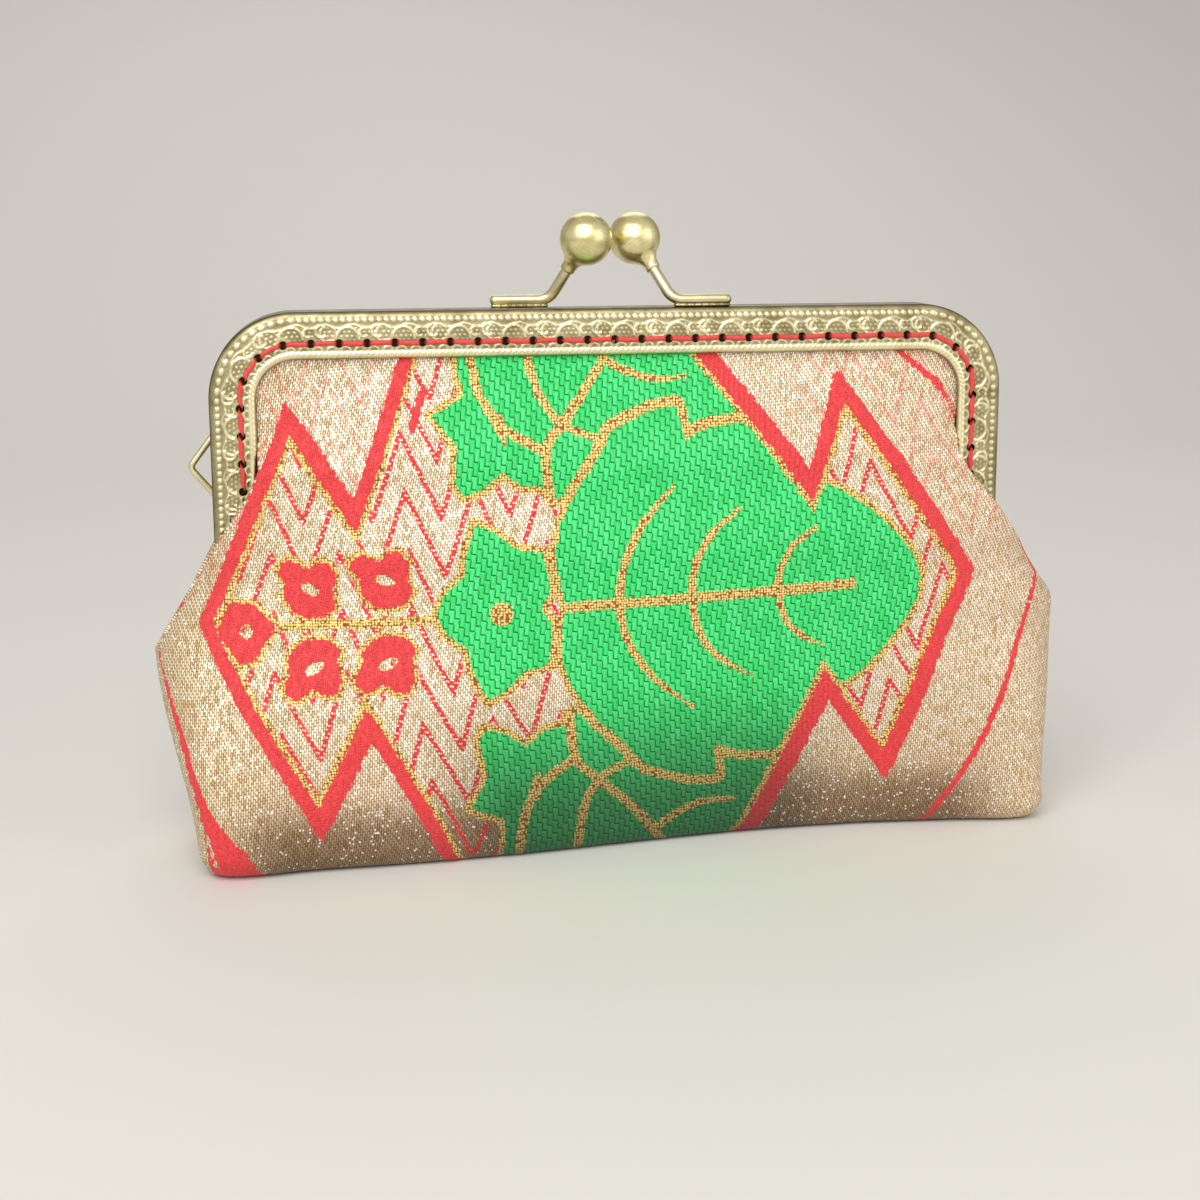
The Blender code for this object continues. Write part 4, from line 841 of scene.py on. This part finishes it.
waxed_thread = waxed_polyester()
for side, where in HALVES:
    s = np.arange(-HOLES_EACH_WAY * HOLE_PITCH, HOLES_EACH_WAY * HOLE_PITCH + 0.01, 0.17)
    phase = (s / HOLE_PITCH) % 1
    from_hole = np.minimum(phase, 1 - phase) * HOLE_PITCH
    lie = OVER_FACE - DIVE * (1 - ease(from_hole, 0.1, 0.85))
    wander = 0.1 * np.sin(s * 0.61 + side)
    centre_x, centre_z = arch(s, HOLE_INSET)
    inner_x, inner_z = arch(s, HOLE_INSET + 1)
    turn = np.linspace(0, math.tau, 13)[:-1]
    twist = math.tau * s / TWIST_PITCH
    radius = THREAD_RADIUS * (1 + 0.2 * np.abs(np.cos(turn[None, :] + twist[:, None])))
    wide = 1.25 * radius * np.cos(turn)[None, :] + wander[:, None]
    tall = 0.85 * radius * np.sin(turn)[None, :]
    points = np.stack([centre_x[:, None] + (inner_x - centre_x)[:, None] * wide,
                       side * (lie[:, None] + tall),
                       centre_z[:, None] + (inner_z - centre_z)[:, None] * wide], axis=-1)
    thread = grid_mesh(f"{where}_thread", points, closed_across=True)
    close_ends(thread)
    thread.data.materials.append(waxed_thread)
    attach(thread, f"{where}_half")
    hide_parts(f"{where}_stitching")


# Clasp
# Each arm is brass wire with a rounded end, soldered along its foot and bent up at the knee.
# Each ball is turned brass with a flared collar, pressed on the wire's tip and brushed round its axis.

BALL_RADIUS, BALL_HEIGHT = 4.9, 113.7
BALL_APART, BALL_CROSSED = 0.07, 2.8  # how far it stays from the middle, and beyond the parting plane
WIRE_RADIUS, KNEE_RADIUS = 1.05, 3.6
FOOT_DEPTH, FOOT_HEIGHT, FOOT_END, KNEE = 2.45, 102.35, 22.6, 11.4
TIP = 5.6  # from the ball's middle to the wire's tip in its collar


def swept(name, path, radius, sides=20, flat=1.0):
    """A closed rod along a path near the XZ plane, its section an ellipse, with rounded ends."""
    path = np.asarray(path, float)
    tangent = np.gradient(path, axis=0)
    tangent /= np.linalg.norm(tangent, axis=1, keepdims=True)
    across = np.cross(tangent, (0.0, 1.0, 0.0))
    across /= np.linalg.norm(across, axis=1, keepdims=True)
    other = np.cross(across, tangent)
    length = np.concatenate([[0], np.cumsum(np.linalg.norm(np.diff(path, axis=0), axis=1))])
    from_end = np.minimum(length, length[-1] - length)
    scale = np.sqrt(np.clip(1 - (1 - np.clip(from_end / radius, 0.02, 1)) ** 2, 0, 1))
    turn = np.linspace(0, math.tau, sides + 1)[:-1]
    turn = turn[None, :, None]
    ring = np.cos(turn) * across[:, None] + flat * np.sin(turn) * other[:, None]
    points = path[:, None] + radius * scale[:, None, None] * ring
    made = grid_mesh(name, points, closed_across=True)
    close_ends(made)
    return made


def smooth_path(corners, radius):
    """Points every quarter of a millimetre along straight runs whose corners are rounded."""
    corners = [np.asarray(c, float) for c in corners]
    made = [corners[0]]
    for a, b, c in zip(corners, corners[1:], corners[2:]):
        back, on = (a - b) / np.linalg.norm(a - b), (c - b) / np.linalg.norm(c - b)
        half = math.acos(np.clip(back @ on, -1, 1)) / 2
        reach = radius / math.tan(half)
        for t in np.linspace(0, 1, 15):
            first, last = b + back * reach, b + on * reach
            made.append((1 - t) ** 2 * first + 2 * t * (1 - t) * b + t ** 2 * last)
    made.append(corners[-1])
    dense = [made[0]]
    for a, b in zip(made, made[1:]):
        count = max(1, int(np.linalg.norm(b - a) / 0.25))
        dense += [a + (b - a) * i / count for i in range(1, count + 1)]
    return dense


def brushed_ball():
    """Antiqued brass brushed as it turned: rings 0.1 mm apart round its axis draw the highlight out."""
    made, tree, shader = new_material("brushed antique brass")
    height = node(tree, "Attribute", give="Fac", attribute_name="latitude")
    height = node(tree, "Math", {0: height, 1: 9.0}, operation="MULTIPLY")
    rings = node(tree, "TexNoise", {"W": height, "Scale": 1.0, "Detail": 3.0}, noise_dimensions="1D")
    place = node(tree, "TexCoord", give="Object")
    tarnish = node(tree, "TexNoise", {"Vector": place, "Scale": 0.3 / MM, "Detail": 3.0})
    share = node(tree, "Math", {0: rings, 1: tarnish}, operation="MULTIPLY")
    tint = node(tree, "ValToRGB", {0: share}).node
    tint.color_ramp.elements[0].position = 0.12
    tint.color_ramp.elements[0].color = linear("#C6B87C")
    tint.color_ramp.elements[1].position = 0.42
    tint.color_ramp.elements[1].color = linear("#FFF4C0")
    bump = node(tree, "Bump", {"Height": rings, "Strength": 0.2, "Distance": 0.06 * MM})
    plug(tree, shader, {"Base Color": tint.outputs[0], "Metallic": 1.0, "Roughness": 0.3, "Anisotropic": 0.55,
                        "Normal": bump})
    return made


brushed_brass = brushed_ball()
for where, end, side in (("front", 1, -1), ("back", -1, 1)):
    depth = side * FOOT_DEPTH
    ball = np.array([end * (BALL_RADIUS + BALL_APART), -side * BALL_CROSSED, BALL_HEIGHT])
    knee = np.array([end * KNEE, depth, FOOT_HEIGHT])
    lean = (ball - knee) / np.linalg.norm(ball - knee)
    path = smooth_path([(end * FOOT_END, depth, FOOT_HEIGHT), knee, ball - lean * TIP], KNEE_RADIUS)
    arm = swept(f"{where}_wire_arm", path, WIRE_RADIUS)
    evenly_worn(arm, 0.13)
    arm.data.materials.append(antique_brass)
    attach(arm, f"{where}_half")
    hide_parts(f"{where}_clasp_arm")

    # A low uneven fillet of solder holds the foot to the channel's edge
    run = np.linspace(11.6, 22.4, 60)
    ripple = 0.08 * np.sin(run * 4.3) + 0.05 * np.sin(run * 9.1 + 1)
    around = np.linspace(0, math.tau, 13)[:-1]
    taper = np.sqrt(np.clip(1 - ((run - 17) / 5.45) ** 8, 0, 1))
    wide = (0.95 + ripple)[:, None] * taper[:, None] * np.cos(around)[None, :]
    tall = (0.5 * taper)[:, None] * np.sin(around)[None, :]
    along = np.broadcast_to(end * run[:, None], wide.shape)
    seat = np.stack([along, depth + wide, FOOT_HEIGHT - 1 + tall], axis=-1)
    solder = grid_mesh(f"{where}_solder_fillet", seat, closed_across=True)
    close_ends(solder)
    evenly_worn(solder, 0.02)
    solder.data.materials.append(antique_brass)
    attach(solder, f"{where}_half")

    # The ball and its collar are turned from one outline of radii and heights along the wire's line
    angles = np.linspace(math.pi - math.asin(2.5 / BALL_RADIUS), 0.02, 60)
    collar = [(0.02, -7.1), (1.35, -7.1), (1.42, -6.8), (1.4, -6.3), (1.5, -5.6), (1.78, -5.0), (2.2, -4.5)]
    profile = np.array([*collar, *zip(BALL_RADIUS * np.sin(angles), BALL_RADIUS * np.cos(angles))])
    turn = np.linspace(0, math.tau, 65)[:-1]
    rotation = np.array(Vector(lean).to_track_quat("Z", "Y").to_matrix())
    local = np.stack([profile[:, 0, None] * np.cos(turn), profile[:, 0, None] * np.sin(turn),
                      np.broadcast_to(profile[:, 1, None], (len(profile), len(turn)))], axis=-1)
    knob = grid_mesh(f"{where}_turned_ball", local @ rotation.T + ball, closed_across=True)
    store(knob, "latitude", local[..., 2].ravel())
    close_ends(knob)
    knob.data.materials.append(brushed_brass)
    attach(knob, f"{where}_half")
    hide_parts(f"{where}_clasp_ball")


# Chain loops
# A flat brass wire bent to a V with a soft point, its feet brazed to the back channel's side.
# The right one is pushed back, so that only a bump of it shows from the front.

LOOP_POINTS = {"left": (-79.2, FOOT_DEPTH, 72.2), "right": (77.4, 4.4, 72.3)}
LOOP_SIDE, LOOP_FEET = 74.6, (66.6, 78.2)
LOOP_WIRE, LOOP_BEND = 0.62, 1.4

for end, where in ((-1, "left"), (1, "right")):
    low, high = [(end * LOOP_SIDE, FOOT_DEPTH, height) for height in LOOP_FEET]
    path = smooth_path([low, LOOP_POINTS[where], high], LOOP_BEND)
    loop = swept(f"{where}_wire_loop", path, LOOP_WIRE, sides=16, flat=0.8)
    evenly_worn(loop, 0.15)
    loop.data.materials.append(antique_brass)
    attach(loop, "back_half")
    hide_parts(f"{where}_chain_loop")


# Hinge rivets
# Steel rivets, plated like the frame, with a domed head outside and a flat one inside.
# Each is set cold through the two ears, loose enough to turn. The solids' own shape is kept.

def plated_rivet():
    """Steel plated antique brass and dulled by its setting tool: marks 1 mm across, from dark to pale."""
    made, tree, shader = new_material("plated steel rivet")
    place = node(tree, "TexCoord", give="Object")
    scratch = node(tree, "TexNoise", {"Vector": place, "Scale": 0.9 / MM, "Detail": 3.0})
    colour = {0: scratch, 6: linear("#6F6545"), 7: linear("#C2B687")}
    colour = node(tree, "Mix", colour, give=2, data_type="RGBA")
    plug(tree, shader, {"Base Color": colour, "Metallic": 1.0, "Roughness": 0.36})
    return made


plated_steel = plated_rivet()
for where in ("left", "right"):
    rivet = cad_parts[f"{where}_hinge_rivet"]
    rivet.data.materials.clear()
    rivet.data.materials.append(plated_steel)


# Studio
# Matt paper, pale and plain, that lies flat under the purse and sweeps up behind it.
# One large soft lamp stands above the camera, a weaker one to the right and another behind.

def matt_paper(name, colour):
    """Uncoated paper: one pale colour, with no shine."""
    made, tree, shader = new_material(name)
    plug(tree, shader, {"Base Color": linear(colour), "Roughness": 0.7})
    return made


SWEEP_START, SWEEP_RADIUS = 0.6, 0.7
bend = np.radians(np.linspace(-90, 0, 25))
sweep = zip(SWEEP_START + SWEEP_RADIUS * np.cos(bend), SWEEP_RADIUS + SWEEP_RADIUS * np.sin(bend))
profile = [(-2, 0), (SWEEP_START, 0), *sweep, (SWEEP_START + SWEEP_RADIUS, 3)]
paper = np.array([[(x, y, z - 0.0002) for x in (-3, 3)] for y, z in profile]) / MM
backdrop = grid_mesh("floor", paper)
backdrop.data.materials.append(matt_paper("matt paper floor", "#E4E1DB"))

for name, place, size, power in (("key", (-0.3, -0.85, 0.8), 1.0, 12.5), ("fill", (0.9, -0.7, 0.4), 0.9, 2.5),
                                 ("rim", (0.1, 0.8, 0.8), 0.7, 2.0)):
    data = bpy.data.lights.new(name, "AREA")
    data.size = size
    data.energy = power
    lamp = bpy.data.objects.new(name, data)
    lamp.location = place
    lamp.rotation_euler = (Vector((0, 0, 0.06)) - Vector(place)).to_track_quat("-Z", "Y").to_euler()
    bpy.context.scene.collection.objects.link(lamp)

world = bpy.data.worlds.new("studio")
bpy.context.scene.world = world
world.use_nodes = True
background = world.node_tree.nodes["Background"]
background.inputs["Color"].default_value = linear("#E9E7E4")
# The pale surroundings are brighter to the camera and in the metal than the light that they give
rays = node(world.node_tree, "LightPath").node.outputs
seen = node(world.node_tree, "Math", {0: rays["Is Camera Ray"], 1: rays["Is Glossy Ray"]}, operation="MAXIMUM")
seen = node(world.node_tree, "Math", {0: seen, 1: rays["Is Transmission Ray"]}, operation="MAXIMUM")
strength = node(world.node_tree, "MapRange", {0: seen, 1: 0, 2: 1, 3: 0.4, 4: 0.8})
world.node_tree.links.new(strength, background.inputs["Strength"])
bpy.context.scene.view_settings.view_transform = "Standard"
